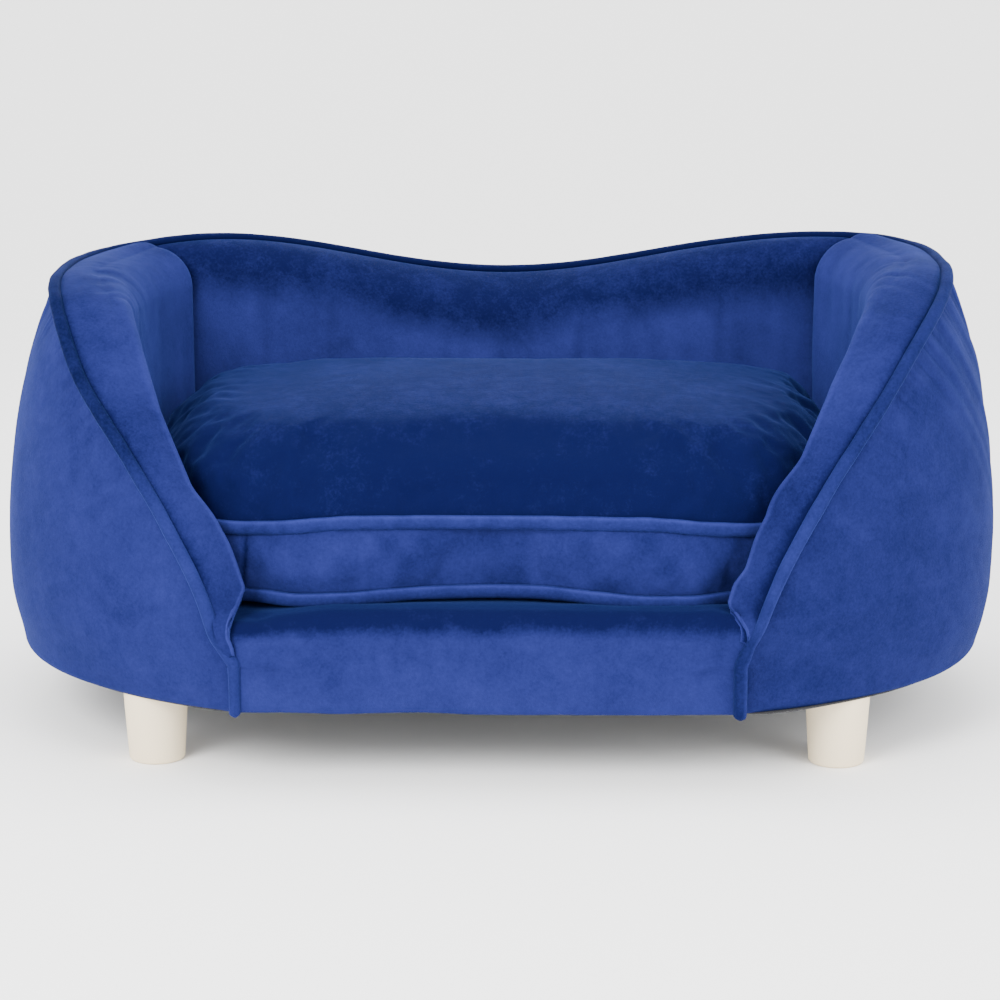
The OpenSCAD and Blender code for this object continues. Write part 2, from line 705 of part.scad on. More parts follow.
// Zip in the rear boxing: woven tape with a coil, a slider and a hinged pull
rear_y = middle_back + cushion_rear;
tape_t = lining_t;
tape_levels = [0.25, 0.5, 0.75];
coil_r = 1.2;
slider_l = 10;
slider_h = 9;
slider_t = 3.6;
ear_t = 1;
pin_r = 0.8;
pin_gap = 0.08;
eye_wall = 1;
tab_h = 4;
ear_gap = 0.3;
tape_y = rear_y + soft_gap + tape_t;
coil_y = rear_y + soft_gap + coil_r;
zip_z = boxing_z(0.5);
slider_y = tape_y + soft_gap;
pin_y = slider_y + slider_t + soft_gap + pin_r + pin_gap + eye_wall;
slider_home = zip_l/2 - slider_l - tab_l;

module zip_tape() {
    color(velvet_dark)
        translate([-zip_l/2, 0, 0])
            rotate([90, 0, 90])
                linear_extrude(zip_l)
                    polygon(concat(
                        [for (t = tape_levels) [rear_y - boxing_w(t) + soft_gap, boxing_z(t)]],
                        [for (t = turned(tape_levels)) [tape_y - boxing_w(t), boxing_z(t)]]));
    color(lining_black)
        translate([-zip_l/2, coil_y, zip_z])
            rotate([0, 90, 0])
                cylinder(r = coil_r, h = zip_l);
}

module zip_slider() {
    ear_h = (slider_h - tab_h - 2*ear_gap)/2;
    color(steel)
        translate([slider_home, 0, zip_z]) {
            difference() {
                translate([-slider_l/2, slider_y, -slider_h/2])
                    cube([slider_l, slider_t, slider_h]);
                translate([-slider_l/2 - over, coil_y, 0])
                    rotate([0, 90, 0])
                        cylinder(r = coil_r + soft_gap, h = slider_l + 2*over);
            }
            for (side = [0, 1])
                mirror([0, 0, side])
                    translate([-pin_r - ear_t, slider_y + slider_t, slider_h/2 - ear_h])
                        cube([2*pin_r + 2*ear_t, pin_y + pin_r + ear_t - slider_y - slider_t,
                            ear_h]);
            translate([0, pin_y, -slider_h/2])
                cylinder(r = pin_r, h = slider_h);
        }
}

module zip_pull() {
    eye_r = pin_r + pin_gap + eye_wall;
    color(steel)
        translate([slider_home, pin_y, zip_z - tab_h/2])
            difference() {
                union() {
                    cylinder(r = eye_r, h = tab_h);
                    translate([0, -tab_t/2, 0])
                        cube([tab_l, tab_t, tab_h]);
                }
                translate([0, 0, -over])
                    cylinder(r = pin_r + pin_gap, h = tab_h + 2*over);
            }
}

deck_board();
front_rail_board();
back_rail_board();
side_rail_left();
side_rail_right();
centre_rail();
foot_blocks();
t_nuts();
hanger_bolts();
foot_front_left();
foot_front_right();
foot_rear_left();
foot_rear_right();
wall_board_left();
wall_board_right();
wall_board_back();
outer_wadding_left();
outer_wadding_right();
outer_wadding_back();
arm_pad_left();
arm_pad_right();
back_pad();
rail_pad();
deck_pad();
outer_cover();
arm_cover_left();
arm_cover_right();
back_cover();
rail_cover();
deck_cloth();
dust_cover();
rim_piping();
cushion_core();
cushion_top_panel();
cushion_boxing();
cushion_bottom_panel();
cushion_piping_top();
cushion_piping_bottom();
zip_tape();
zip_slider();
zip_pull();
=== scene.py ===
import math
import bpy
import numpy as np
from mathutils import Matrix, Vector


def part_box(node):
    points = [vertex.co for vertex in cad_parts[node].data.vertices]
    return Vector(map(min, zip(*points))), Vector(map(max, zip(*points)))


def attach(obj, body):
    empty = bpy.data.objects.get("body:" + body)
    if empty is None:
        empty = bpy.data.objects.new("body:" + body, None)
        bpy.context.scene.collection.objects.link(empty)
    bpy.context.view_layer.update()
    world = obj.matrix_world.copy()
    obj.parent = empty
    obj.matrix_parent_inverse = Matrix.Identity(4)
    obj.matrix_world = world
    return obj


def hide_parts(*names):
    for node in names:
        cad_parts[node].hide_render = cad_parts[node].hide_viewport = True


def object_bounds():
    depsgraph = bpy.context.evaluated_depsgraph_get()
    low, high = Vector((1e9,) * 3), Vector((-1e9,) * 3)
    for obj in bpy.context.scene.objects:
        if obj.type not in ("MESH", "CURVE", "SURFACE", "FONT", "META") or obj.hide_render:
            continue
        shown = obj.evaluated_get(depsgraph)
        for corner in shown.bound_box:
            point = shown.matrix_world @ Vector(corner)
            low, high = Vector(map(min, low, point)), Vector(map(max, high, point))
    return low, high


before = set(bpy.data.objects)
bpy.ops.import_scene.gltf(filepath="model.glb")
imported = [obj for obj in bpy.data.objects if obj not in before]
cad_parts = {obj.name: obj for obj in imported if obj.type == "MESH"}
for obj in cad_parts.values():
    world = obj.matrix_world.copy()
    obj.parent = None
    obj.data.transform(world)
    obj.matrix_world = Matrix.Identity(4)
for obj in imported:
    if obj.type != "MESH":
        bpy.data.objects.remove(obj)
cad_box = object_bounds()

# Base frame. A plywood deck lies on pine battens, with a pine block in each corner for a foot.
# The pieces are sawn flat, glued and stapled together, and left raw.
def add_node(tree, kind, inputs=None, **settings):
    """A shader node with its settings; an input is a value or another node's socket."""
    made = tree.nodes.new(kind)
    for key, value in settings.items():
        setattr(made, key, value)
    for key, value in (inputs or {}).items():
        if isinstance(value, bpy.types.NodeSocket):
            tree.links.new(value, made.inputs[key])
        else:
            made.inputs[key].default_value = value
    return made


def add_ramp(tree, value, stops):
    """A colour ramp over a value, from (place, colour) stops."""
    made = add_node(tree, "ShaderNodeValToRGB", {"Fac": value})
    points = made.color_ramp.elements
    while len(points) < len(stops):
        points.new(0.5)
    for point, (place, colour) in zip(points, stops):
        point.position = place
        point.color = (*colour, 1)
    return made.outputs["Color"]


def math_node(tree, what, a, b):
    return add_node(tree, "ShaderNodeMath", {0: a, 1: b}, operation=what).outputs[0]


def new_group(name, inputs, outputs):
    """An empty node group with named sockets, and its two end nodes."""
    tree = bpy.data.node_groups.new(name, "ShaderNodeTree")
    for way, sockets in (("INPUT", inputs), ("OUTPUT", outputs)):
        for socket, value in sockets.items():
            kind = "NodeSocketColor" if isinstance(value, tuple) else "NodeSocketFloat"
            made = tree.interface.new_socket(socket, in_out=way, socket_type=kind)
            made.default_value = (*value, 1) if isinstance(value, tuple) else value
    return tree, tree.nodes.new("NodeGroupInput").outputs, tree.nodes.new("NodeGroupOutput").inputs


def new_material(name, **sockets):
    """A material with its Principled sockets set, and its node tree."""
    made = bpy.data.materials.new(name)
    made.use_nodes = True
    shader = made.node_tree.nodes["Principled BSDF"]
    for key, value in sockets.items():
        shader.inputs[key.replace("_", " ").title()].default_value = value
    return made, made.node_tree, shader.inputs


def place_group(tree, group, **values):
    made = tree.nodes.new("ShaderNodeGroup")
    made.node_tree = group
    for key, value in values.items():
        made.inputs[key].default_value = (*value, 1) if isinstance(value, tuple) else value
    return made.outputs


def mix_colours(tree, share, first, second):
    colour_a = 6
    colour_b = 7
    mixed = add_node(tree, "ShaderNodeMix", {"Factor": share, colour_a: first, colour_b: second},
                     data_type="RGBA", clamp_factor=True)
    return mixed.outputs[2]


def noise(tree, **inputs):
    return add_node(tree, "ShaderNodeTexNoise", inputs).outputs["Fac"]


def add_bump(tree, height, depth, strength=1.0):
    return add_node(tree, "ShaderNodeBump", {"Height": height, "Distance": depth,
                    "Strength": strength}).outputs["Normal"]


def surface(tree, shader, colour, normal):
    tree.links.new(colour, shader["Base Color"])
    tree.links.new(normal, shader["Normal"])


grain, grain_in, grain_out = new_group(
    "Wood grain", {"Light": (0.7, 0.6, 0.4), "Dark": (0.5, 0.4, 0.2), "Ring": 60.0, "Stretch": 12.0},
    {"Color": (0.5, 0.5, 0.5), "Height": 0.0, "Roughness": 0.6})
place = add_node(grain, "ShaderNodeTexCoord").outputs["Object"]
stretch = add_node(grain, "ShaderNodeCombineXYZ", {"X": 1.0, "Y": grain_in["Stretch"],
                   "Z": grain_in["Stretch"]}).outputs[0]
along_grain = add_node(grain, "ShaderNodeVectorMath", {0: place, 1: stretch},
                       operation="MULTIPLY").outputs[0]
rings = noise(grain, Vector=along_grain, Scale=grain_in["Ring"], Detail=5.0, Roughness=0.6,
              Distortion=0.6)
fibres = noise(grain, Vector=along_grain, Scale=260.0, Detail=3.0)
grain.links.new(mix_colours(grain, rings, grain_in["Light"], grain_in["Dark"]), grain_out["Color"])
grain.links.new(math_node(grain, "ADD", rings, fibres), grain_out["Height"])
grain.links.new(math_node(grain, "ADD", math_node(grain, "MULTIPLY", fibres, 0.3), 0.5),
                grain_out["Roughness"])


def wood(name, light, dark, ring, stretch, depth):
    """A raw wood: ring is how close its bands lie, stretch how long they run along the grain."""
    made, tree, shader = new_material(name, roughness=0.7)
    out = place_group(tree, grain, Light=light, Dark=dark, Ring=ring, Stretch=stretch)
    surface(tree, shader, out["Color"], add_bump(tree, out["Height"], depth))
    return made


def finish_cad(material, *names):
    """Gives a material to solids that show as they are."""
    for name in names:
        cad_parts[name].data.materials.clear()
        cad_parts[name].data.materials.append(material)


plywood = wood("Birch plywood", (0.62, 0.46, 0.27), (0.50, 0.34, 0.18), 9.0, 5.0, 0.0002)
finish_cad(plywood, "deck_board")
pine = wood("Sawn pine", (0.70, 0.51, 0.28), (0.52, 0.31, 0.13), 14.0, 7.0, 0.0003)
finish_cad(pine, "front_rail_board", "back_rail_board", "side_rail_left", "side_rail_right",
           "centre_rail", "foot_blocks")

# Feet hardware. Zinc-plated T-nuts sit in the blocks, and a hanger bolt screws into each.
zinc, tree, shader = new_material("Zinc plate", metallic=1.0, roughness=0.35)
spangle = noise(tree, Scale=420.0, Detail=4.0)
surface(tree, shader, add_ramp(tree, spangle, [(0.3, (0.42, 0.43, 0.45)), (0.7, (0.66, 0.67, 0.68))]),
        add_bump(tree, spangle, 0.00005))
finish_cad(zinc, "t_nuts", "hanger_bolts")

# Feet. Four short tapered feet, turned in a pale close-grained wood and left with a clear matt
# finish. Their edges are eased, and each is screwed up tight against the base.
def mesh_object(name, points, faces, material):
    mesh = bpy.data.meshes.new(name)
    mesh.from_pydata([tuple(p) for p in points], [], [tuple(f) for f in faces])
    mesh.materials.append(material)
    mesh.polygons.foreach_set("use_smooth", [True]*len(mesh.polygons))
    mesh.update()
    made = bpy.data.objects.new(name, mesh)
    bpy.context.scene.collection.objects.link(made)
    return made


def grid_faces(rows, columns, ring_rows=False, ring_columns=False):
    """Quads over a grid of points, closed on itself across rows or columns if wanted."""
    i, j = np.meshgrid(np.arange(rows if ring_rows else rows - 1),
                       np.arange(columns if ring_columns else columns - 1), indexing="ij")
    k = (i + 1) % rows
    l = (j + 1) % columns
    return np.stack([i*columns + j, k*columns + j, k*columns + l, i*columns + l], -1).reshape(-1, 4)


foot_h = 0.048
foot_taper = 0.003
sole_edge = 0.002
top_edge = 0.0008
foot_turns = 72
foot_wood = wood("Pale foot wood", (0.83, 0.71, 0.51), (0.73, 0.60, 0.41), 5.0, 0.25, 0.00012)
for side in ("front_left", "front_right", "rear_left", "rear_right"):
    low, high = (np.array(c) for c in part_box("foot_" + side))
    centre = (low + high)/2
    top_r = (high[0] - low[0])/2
    sole_r = top_r - foot_taper
    quarter = np.linspace(0, math.pi/2, 9)
    profile = np.concatenate([
        [[0, 0], [sole_r*0.6, 0]],
        np.stack([sole_r - sole_edge + sole_edge*np.sin(quarter),
                  sole_edge*(1 - np.cos(quarter))], -1),
        [[sole_r + (top_r - sole_r)*f, foot_h*f] for f in (0.25, 0.5, 0.75, 0.95)],
        np.stack([top_r - top_edge + top_edge*np.cos(quarter),
                  foot_h - top_edge + top_edge*np.sin(quarter)], -1),
        [[top_r*0.5, foot_h], [0, foot_h]]])
    turn = np.linspace(0, 2*math.pi, foot_turns, endpoint=False)[:, None]
    points = np.stack([centre[0] + profile[:, 0]*np.cos(turn), centre[1] + profile[:, 0]*np.sin(turn),
                       np.broadcast_to(profile[:, 1], (foot_turns, len(profile)))], -1)
    foot = mesh_object("turned_foot_" + side, points.reshape(-1, 3),
                       grid_faces(foot_turns, len(profile), ring_rows=True), foot_wood)
    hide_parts("foot_" + side)
    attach(foot, "sofa")

# Bent hardboard. Three brown boards, one for each arm and one for the back, stand round the deck.
# They are bent to the oval, stapled to the deck's edge, and carry the padding of the wall.
hardboard, tree, shader = new_material("Hardboard", roughness=0.75)
specks = noise(tree, Scale=900.0, Detail=6.0, Roughness=0.8)
surface(tree, shader, add_ramp(tree, specks, [(0.35, (0.16, 0.09, 0.045)), (0.65, (0.30, 0.18, 0.09))]),
        add_bump(tree, specks, 0.0001))
finish_cad(hardboard, "wall_board_left", "wall_board_right", "wall_board_back")

# Outer cover. One length of blue velvet over wadding, stretched from seam to seam round the bent
# boards, turned under the base in a hem and sewn to the piping, where it gathers in fine pleats.
low, high = cad_box
half_w = high[0]
seam_x = 0.166
pipe_r = 0.0035
front_y = low[1] + pipe_r
outer_back_y = 0.215
middle_y = 0.010
belly_z = 0.120
belly_r = 0.445
tip_z = 0.084
corner_rise = 0.005
back_dip = 0.027
peak_in = 0.095
peak_x = half_w - peak_in
peak_z = high[2] - pipe_r
side_z = peak_z - corner_rise
arm_tip_t = 0.012
arm_w = 0.091
inner_a = half_w - arm_w
back_y = 0.130
corner_lean = 0.030
arm_rear_in = 0.028
arm_rear_x = inner_a - arm_rear_in
front_round = 2.2
rear_round = 3.3
inner_round = 2.15
climb = 0.576
left_seam_slide = 0.0115
slide_start_share = 0.003
slide_fade_share = 0.075
slide_end_share = 0.6


def through_seam(half, y, power):
    """Half depth of the oval of that half width through the seam, and the seam's angle on it."""
    depth = (middle_y - y)/(1 - (seam_x/half)**power)**(1/power)
    return depth, math.asin(((middle_y - y)/depth)**(power/2))


front_b, seam_angle = through_seam(half_w, front_y, front_round)
inner_b, tip_angle = through_seam(inner_a, front_y + arm_tip_t, inner_round)
inner_rear_b = (back_y - middle_y)/math.sqrt(1 - (arm_rear_x/inner_a)**2)
rear_b = outer_back_y - middle_y


def inset(z):
    return belly_r - np.sqrt(belly_r**2 - (z - belly_z)**2)


def rear_x(y):
    return half_w*(1 - (np.clip(y - middle_y, 0, rear_b)/rear_b)**rear_round)**(1/rear_round)


def rim_z(x):
    x = np.abs(x)
    side = side_z + corner_rise*np.sin(math.pi/2*(half_w - x)/(half_w - peak_x))**2
    back = peak_z - back_dip*np.cos(math.pi/2*x/peak_x)**2
    return np.where(x > peak_x, side, back)


def pick(where, first, second):
    return [np.where(where, a, b) for a, b in zip(first, second)]


class Wall:
    """Stations round the wall, t from 0 at the left seam over 1 at the widest line, 2 at the rear
    end of the arm and 3 at the middle of the back to 6 at the right seam."""

    def __init__(self, t):
        side = np.where(t > 3, 1.0, -1.0)
        t = np.where(t > 3, 6 - t, t)
        self.s = s = np.clip(t, 0, 1)
        a = seam_angle*(1 - s)
        b = tip_angle*(1 - s)
        outer = [half_w*np.cos(a)**(2/front_round), middle_y - front_b*np.sin(a)**(2/front_round)]
        inner = [inner_a*np.cos(b)**(2/inner_round), middle_y - inner_b*np.sin(b)**(2/inner_round)]
        f = np.clip(t - 1, 0, 1)
        y = middle_y + (back_y + corner_lean - middle_y)*f
        inner_y = middle_y + (back_y - middle_y)*f
        slide = (1 - np.exp(-s/slide_start_share))*np.exp(-s/slide_fade_share)
        slid = outer[0] + left_seam_slide*slide
        slid_y = middle_y - front_b*(1 - np.minimum(slid/half_w, 1)**front_round)**(1/front_round)
        outer = pick((side < 0) & (s < slide_end_share), (slid, slid_y), outer)
        beside = t > 1
        outer = pick(beside, (rear_x(y), y), outer)
        inner_x = inner_a*np.sqrt(1 - ((inner_y - middle_y)/inner_rear_b)**2)
        inner = pick(beside, (inner_x, inner_y), inner)
        corner_y = back_y + corner_lean
        corner_x = rear_x(corner_y)
        first = math.atan2(corner_y - middle_y, corner_x)
        a = first + (math.pi/2 - first)*np.clip(t - 2, 0, 1)
        r = ((np.abs(np.cos(a))/half_w)**rear_round
             + (np.abs(np.sin(a))/rear_b)**rear_round)**(-1/rear_round)
        behind = t > 2
        outer = pick(behind, (r*np.cos(a), middle_y + r*np.sin(a)), outer)
        inner = pick(behind, (outer[0]/corner_x*arm_rear_x, back_y), inner)
        climbing = tip_z + (side_z - tip_z)*(1 - (1 - s)**2)**climb
        self.rim = np.where(beside, rim_z(outer[0]), climbing)
        self.outer = np.stack([side*outer[0], outer[1]], -1)
        way = np.stack([side*inner[0], inner[1]], -1) - self.outer
        self.depth = np.linalg.norm(way, axis=-1)
        self.way = way/self.depth[:, None]
        step = np.linalg.norm(np.diff(self.outer, axis=0), axis=-1)
        self.run = np.concatenate([[0], np.cumsum(step)])

    def at(self, u, z):
        """Points at depths u and heights z, both with a row for each station."""
        flat = self.outer[:, None, :] + self.way[:, None, :]*u[..., None]
        return np.concatenate([flat, z[..., None]], -1)


def smooth(x):
    x = np.clip(x, 0, 1)
    return x*x*(3 - 2*x)


def hill(x, centre, width):
    """1 at the centre, falling away smoothly over a width on both sides."""
    return np.exp(-((x - centre)/width)**2)


left_sag = 0.019
right_lift = 0.008
right_seam_in = 0.0085


def as_sewn(points):
    """The wall's own unevenness: the left arm's front sags, the right arm stands a little taller
    and its front seam has crept inward at the foot."""
    x, y, z = np.moveaxis(points, -1, 0)
    high = smooth((z - 0.07)/0.12)
    sag = left_sag*high*smooth((-0.10 - x)/0.06)*smooth((-0.05 - y)/0.09)
    lift = right_lift*high*smooth((x - 0.15)/0.12)*smooth((y + 0.19)/0.10)
    lift = lift*(1 - smooth((y - 0.13)/0.06))
    creep = right_seam_in*hill(y, front_y, 0.05)*smooth((x - 0.02)/0.14)
    creep = creep*(1 - smooth((z - 0.080)/0.032))
    return np.stack([x - creep, y, z - sag + lift], -1)


def soft_noise(points, size, seed):
    """Smooth random heights from -1 to 1, with lumps about one size across."""
    cells = 48
    lattice = np.random.default_rng(seed).uniform(-1, 1, (cells, cells, cells))
    place = points/size
    cell = np.floor(place).astype(int)
    f = place - cell
    f = f*f*(3 - 2*f)
    total = np.zeros(points.shape[:-1])
    for corner in np.ndindex(2, 2, 2):
        pick = (cell + corner) % cells
        share = np.prod(np.where(np.array(corner) == 1, f, 1 - f), -1)
        total += share*lattice[pick[..., 0], pick[..., 1], pick[..., 2]]
    return total


def set_nap_and_painted_light(piece, nap_and_painted_light):
    """Stores each point's tone between the pile's dark and light colours, from its brushing together
    with painted light and shade set region by region: 1 is all light, and 0 or less is dark."""
    layer = piece.data.attributes.new("nap_and_painted_light", "FLOAT", "POINT")
    layer.data.foreach_set("value", np.clip(nap_and_painted_light, -0.3, 1).ravel().astype(np.float32))


def sew(name, points, nap_and_painted_light, material, thickness):
    """A cloth piece over a grid of points, its thickness on the inner side."""
    rows, columns = points.shape[:2]
    made = mesh_object(name, points.reshape(-1, 3), grid_faces(rows, columns), material)
    set_nap_and_painted_light(made, np.broadcast_to(nap_and_painted_light, (rows, columns)))
    solid = made.modifiers.new("thickness", "SOLIDIFY")
    solid.thickness = thickness
    solid.offset = -1
    return made


pile, pile_in, pile_out = new_group(
    "Velvet pile", {"Deep": (0.01, 0.02, 0.1), "Light": (0.1, 0.15, 0.4), "Patch": 20.0,
                    "Contrast": 0.5},
    {"Color": (0.5, 0.5, 0.5), "Roughness": 0.8, "Height": 0.0})
place = add_node(pile, "ShaderNodeTexCoord").outputs["Object"]
# The nap attribute carries the pile's brushing together with painted light and shade, set on each piece
# region by region.
nap_and_painted_light_value = add_node(pile, "ShaderNodeAttribute", attribute_name="nap_and_painted_light").outputs["Fac"]
patches = noise(pile, Vector=place, Scale=pile_in["Patch"], Detail=6.0, Roughness=0.66,
                Distortion=0.5)
marks = noise(pile, Vector=place, Scale=120.0, Detail=5.0, Roughness=0.7)
tufts = noise(pile, Vector=place, Scale=520.0, Detail=5.0, Roughness=0.75)
shade = math_node(pile, "MULTIPLY", math_node(pile, "SUBTRACT", patches, 0.5), pile_in["Contrast"])
mark_shade = math_node(pile, "MULTIPLY", math_node(pile, "SUBTRACT", marks, 0.5),
                       math_node(pile, "MULTIPLY", pile_in["Contrast"], 0.6))
tuft_shade = math_node(pile, "MULTIPLY", math_node(pile, "SUBTRACT", tufts, 0.5), 0.60)
shade = math_node(pile, "ADD", math_node(pile, "ADD", shade, mark_shade),
                  math_node(pile, "ADD", tuft_shade, nap_and_painted_light_value))
pile.links.new(mix_colours(pile, shade, pile_in["Deep"], pile_in["Light"]), pile_out["Color"])
pile.links.new(math_node(pile, "SUBTRACT", 1.0, math_node(pile, "MULTIPLY", marks, 0.3)),
               pile_out["Roughness"])
pile.links.new(math_node(pile, "ADD", math_node(pile, "MULTIPLY", marks, 0.6), tufts),
               pile_out["Height"])


def velvet(name, deep, light, patch=30.0, contrast=0.5):
    """Short-pile velvet: deep between the tufts, light where the pile leans, and where painted light is
    laid into the nap attribute.
    """
    made, tree, shader = new_material(name, sheen_weight=0.10, sheen_roughness=0.38,
                                      sheen_tint=(0.16, 0.30, 1.0, 1))
    shader["Specular IOR Level"].default_value = 0.02
    out = place_group(tree, pile, Deep=deep, Light=light, Patch=patch, Contrast=contrast)
    tree.links.new(out["Roughness"], shader["Roughness"])
    surface(tree, shader, out["Color"], add_bump(tree, out["Height"], 0.0004, 0.6))
    return made


sofa_velvet = velvet("Blue velvet", (0.0022, 0.0034, 0.029), (0.0205, 0.0262, 0.140))
velvet_t = 0.0015
hem_z = 0.0491
hem_w = 0.020
hem_r = 0.005
under_piping = 0.0015
pleat_w = 0.0075
fine_pleat_w = 0.0026
fold_h = 0.011
left_reach = 0.034
right_reach = 0.074
hem_in = 0.0045
slack = 0.0022
dimple = 0.0008
pleat_depth = 0.0013
fold_depth = 0.0010
fine_depth = 0.0008

t = np.concatenate([0.0004 + 0.9996*np.linspace(0, 1, 330)**1.35, np.linspace(1, 2, 60)[1:],
                    np.linspace(2, 3, 70)[1:]])
t = np.concatenate([t, 6 - t[-2::-1]])
wall = Wall(t)
arc = np.linspace(0, math.pi/2, 7)
rise = 1 - (1 - np.linspace(0, 1, 88)[1:])**1.5
hem = np.minimum(hem_w, wall.depth - inset(hem_z) - velvet_t)[:, None]
bend_u = inset(hem_z + hem_r) + hem_r
under = np.linspace(1, 0, 6)[None, :-1]
u_hem = bend_u + (inset(hem_z) + hem - bend_u)*under
u_bend = bend_u - hem_r*np.sin(arc)[None, :] + 0*hem
z_bend = hem_z + hem_r - hem_r*np.cos(arc)[None, :] + 0*hem
on_right = (t > 3)[:, None]
top = wall.rim[:, None] - under_piping
z_side = hem_z + hem_r + (top - hem_z - hem_r)*rise
u_side = inset(z_side)
u = np.concatenate([u_hem, u_bend, u_side], 1)
z = np.concatenate([hem_z + 0*u_hem, z_bend, z_side], 1)
below = wall.rim[:, None] - z
run = wall.run[:, None] + 0*z
ends = smooth(np.minimum(wall.run, wall.run[-1] - wall.run)/0.03)[:, None]
free = smooth(below/0.012)*smooth((z - hem_z)/0.02)*ends
lumps = wall.at(u, z)
pleat_at = np.stack([run + 0.6*below*np.where(on_right, 1, -1), 0*z, 0*z], -1)
pleats = soft_noise(pleat_at, pleat_w, 11) + 0.6*soft_noise(pleat_at, 2*pleat_w, 12)
gathered = hill(t, 1.05, 0.45)[:, None] + 1.2*hill(t, 4.85, 0.5)[:, None] + 0.15
reach = np.where(on_right, right_reach, left_reach)
pleats = pleats*gathered*np.exp(-below/reach)*(1 + 0.6*on_right)
level = np.stack([0.22*run, z + 0.05*run, 0*z], -1)
low_front = smooth((z - hem_z)/0.03)*(1 - smooth((z - 0.10)/0.06))
low_front = low_front*(0.4 + 0.6*on_right)*np.exp(-wall.s/0.45)[:, None]
folds = soft_noise(level, fold_h, 16)*low_front
fine_reach = 0.016*(1 + 0.5*soft_noise(np.stack([run, 0*z, 0*z], -1), 0.012, 17))
fine = soft_noise(pleat_at, fine_pleat_w, 18)*np.exp(-below/fine_reach)*smooth((below - 0.001)/0.004)
fine = fine*hill(np.minimum(t, 6 - t), 0.72, 0.42)[:, None]
push = free*(slack*soft_noise(lumps, 0.085, 13) + dimple*soft_noise(lumps, 0.035, 14)
             + pleat_depth*pleats + fold_depth*folds) + fine_depth*fine
turned_in = hem_in*(1 - smooth((z - hem_z)/0.045))*smooth(wall.depth/0.06)[:, None]
shell = as_sewn(wall.at(u - push + turned_in, z))
# Painted light and shade on the outer cover: the right side is painted darker than the left, with a
# broad patch of painted shade below its piping towards the front and painted light again from its
# widest line back; pleat and fold ridges are painted lighter as highlights, and a painted shadow line
# runs just below the piping. The soft noise is the pile's own tone.
shaded = hill(wall.s, 0.45, 0.35)[:, None]*hill(below, 0.04, 0.07)*on_right
nap_and_painted_light = 0.52 - 0.11*on_right - 0.10*shaded + 0.10*soft_noise(lumps, 0.12, 15)
nap_and_painted_light = nap_and_painted_light + 0.14*smooth((t - 0.8)/0.3)[:, None]*smooth((5.2 - t)/0.3)[:, None]*on_right
nap_and_painted_light = nap_and_painted_light + 0.12*pleats + 0.08*folds + 0.22*fine - 0.10*np.exp(-below/0.006)
cover = sew("outer_velvet", shell, nap_and_painted_light, sofa_velvet, velvet_t)
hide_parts("outer_cover", "outer_wadding_left", "outer_wadding_right",
            "outer_wadding_back")
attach(cover, "sofa")

# Arms. Foam pads stand inside the boards and lip over their tops. The velvet is sewn to the
# piping, crowned over the pad and creased along the inner edge, which softens towards the back.
edge_crown = 0.004
edge_r = 0.028
front_edge_r = 0.0022
edge_fall = 0.002
seam_tuck = 0.0035
inner_velvet_t = 0.0012
deck_top = 0.1131
velvet_foot_z = deck_top - 0.006
arm_end_r = 0.014
back_end_r = 0.008


def back_off(end, end_r, held):
    """How far the cover drops behind its face near a pad's end that is rounded over end_r."""
    near = np.clip(end_r - end, 0, end_r)[:, None]
    return (end_r - np.sqrt(end_r**2 - near**2))*held


def soft_edge(wall, end):
    """An arm's padded edge: depths, heights, outward normals in the section, and each point's share
    in the rounded rear end. end is how far each station lies from there."""
    s = wall.s[:, None]
    rim = wall.rim[:, None]
    u0 = inset(rim) + 0.4*pipe_r
    u1 = wall.depth[:, None]
    r = np.minimum(front_edge_r + (edge_r - front_edge_r)*s**2.5, (u1 - u0)*(0.45 + 0.35*s))
    low = np.maximum(rim - edge_fall, deck_top + 0.009)
    crown = edge_crown*np.minimum(1, (u1 - arm_tip_t)/arm_tip_t)
    f = np.linspace(0, 1, band_columns)[None, :]
    u_top = u0 + (u1 - r - u0)*f
    z_top = rim + (low - rim)*f + crown*np.sin(math.radians(150)*f)
    z_top = z_top - seam_tuck*(1 - smooth(f*(u1 - u0)/0.006))
    shoulder = crown*math.sin(math.radians(150))
    a = np.linspace(0, math.pi/2, arc_columns + 1)[None, 1:]
    u_arc = u1 - r + r*np.sin(a)
    z_arc = low + shoulder - r + r*np.cos(a)
    drop = np.linspace(0, 1, drop_columns + 1)[None, 1:]
    z_down = low + shoulder - r + (velvet_foot_z - low - shoulder + r)*drop
    u_down = u1 + 0*z_down
    u = np.concatenate([u_top, u_arc, u_down], 1)
    z = np.concatenate([z_top, z_arc, z_down], 1)
    n_u = np.concatenate([0*u_top, np.sin(a) + 0*u_arc, 1 + 0*u_down], 1)
    n_z = np.concatenate([1 + 0*u_top, np.cos(a) + 0*u_arc, 0*u_down], 1)
    held = np.concatenate([smooth(f/0.35) + 0*u_top, 1 + 0*u_arc, 1 + 0*u_down], 1)
    off = back_off(end, arm_end_r, held)
    return u - n_u*off, z - n_z*off, n_u, n_z, held


# The line that the folded inner edge follows at the arm's front end: heights, and widths there
fold_z = {-1: [0.084, 0.095, 0.100, 0.107, 0.113, 0.128, 0.147, 0.1635],
          1: [0.084, 0.095, 0.106, 0.1125, 0.120, 0.132, 0.142, 0.160, 0.175]}
fold_x = {-1: [-0.1665, -0.1690, -0.1712, -0.1713, -0.1692, -0.1620, -0.1692, -0.1738],
          1: [0.1640, 0.1635, 0.1622, 0.1574, 0.1504, 0.1541, 0.1618, 0.1678, 0.1738]}
ear_return = 0.016
rail_r = 0.014
rail_slope = 1.6


def rail_face(z):
    """Depth of the rounded front rail's face at a height z; above the rail it runs far back."""
    above = np.clip(z - deck_top + rail_r, 0, rail_r)
    return front_y + rail_r - np.sqrt(rail_r**2 - above**2) + rail_slope*np.maximum(z - deck_top, 0)


def corners(piece):
    flat = np.empty(len(piece.data.vertices)*3)
    piece.data.vertices.foreach_get("co", flat)
    return flat.reshape(-1, 3)


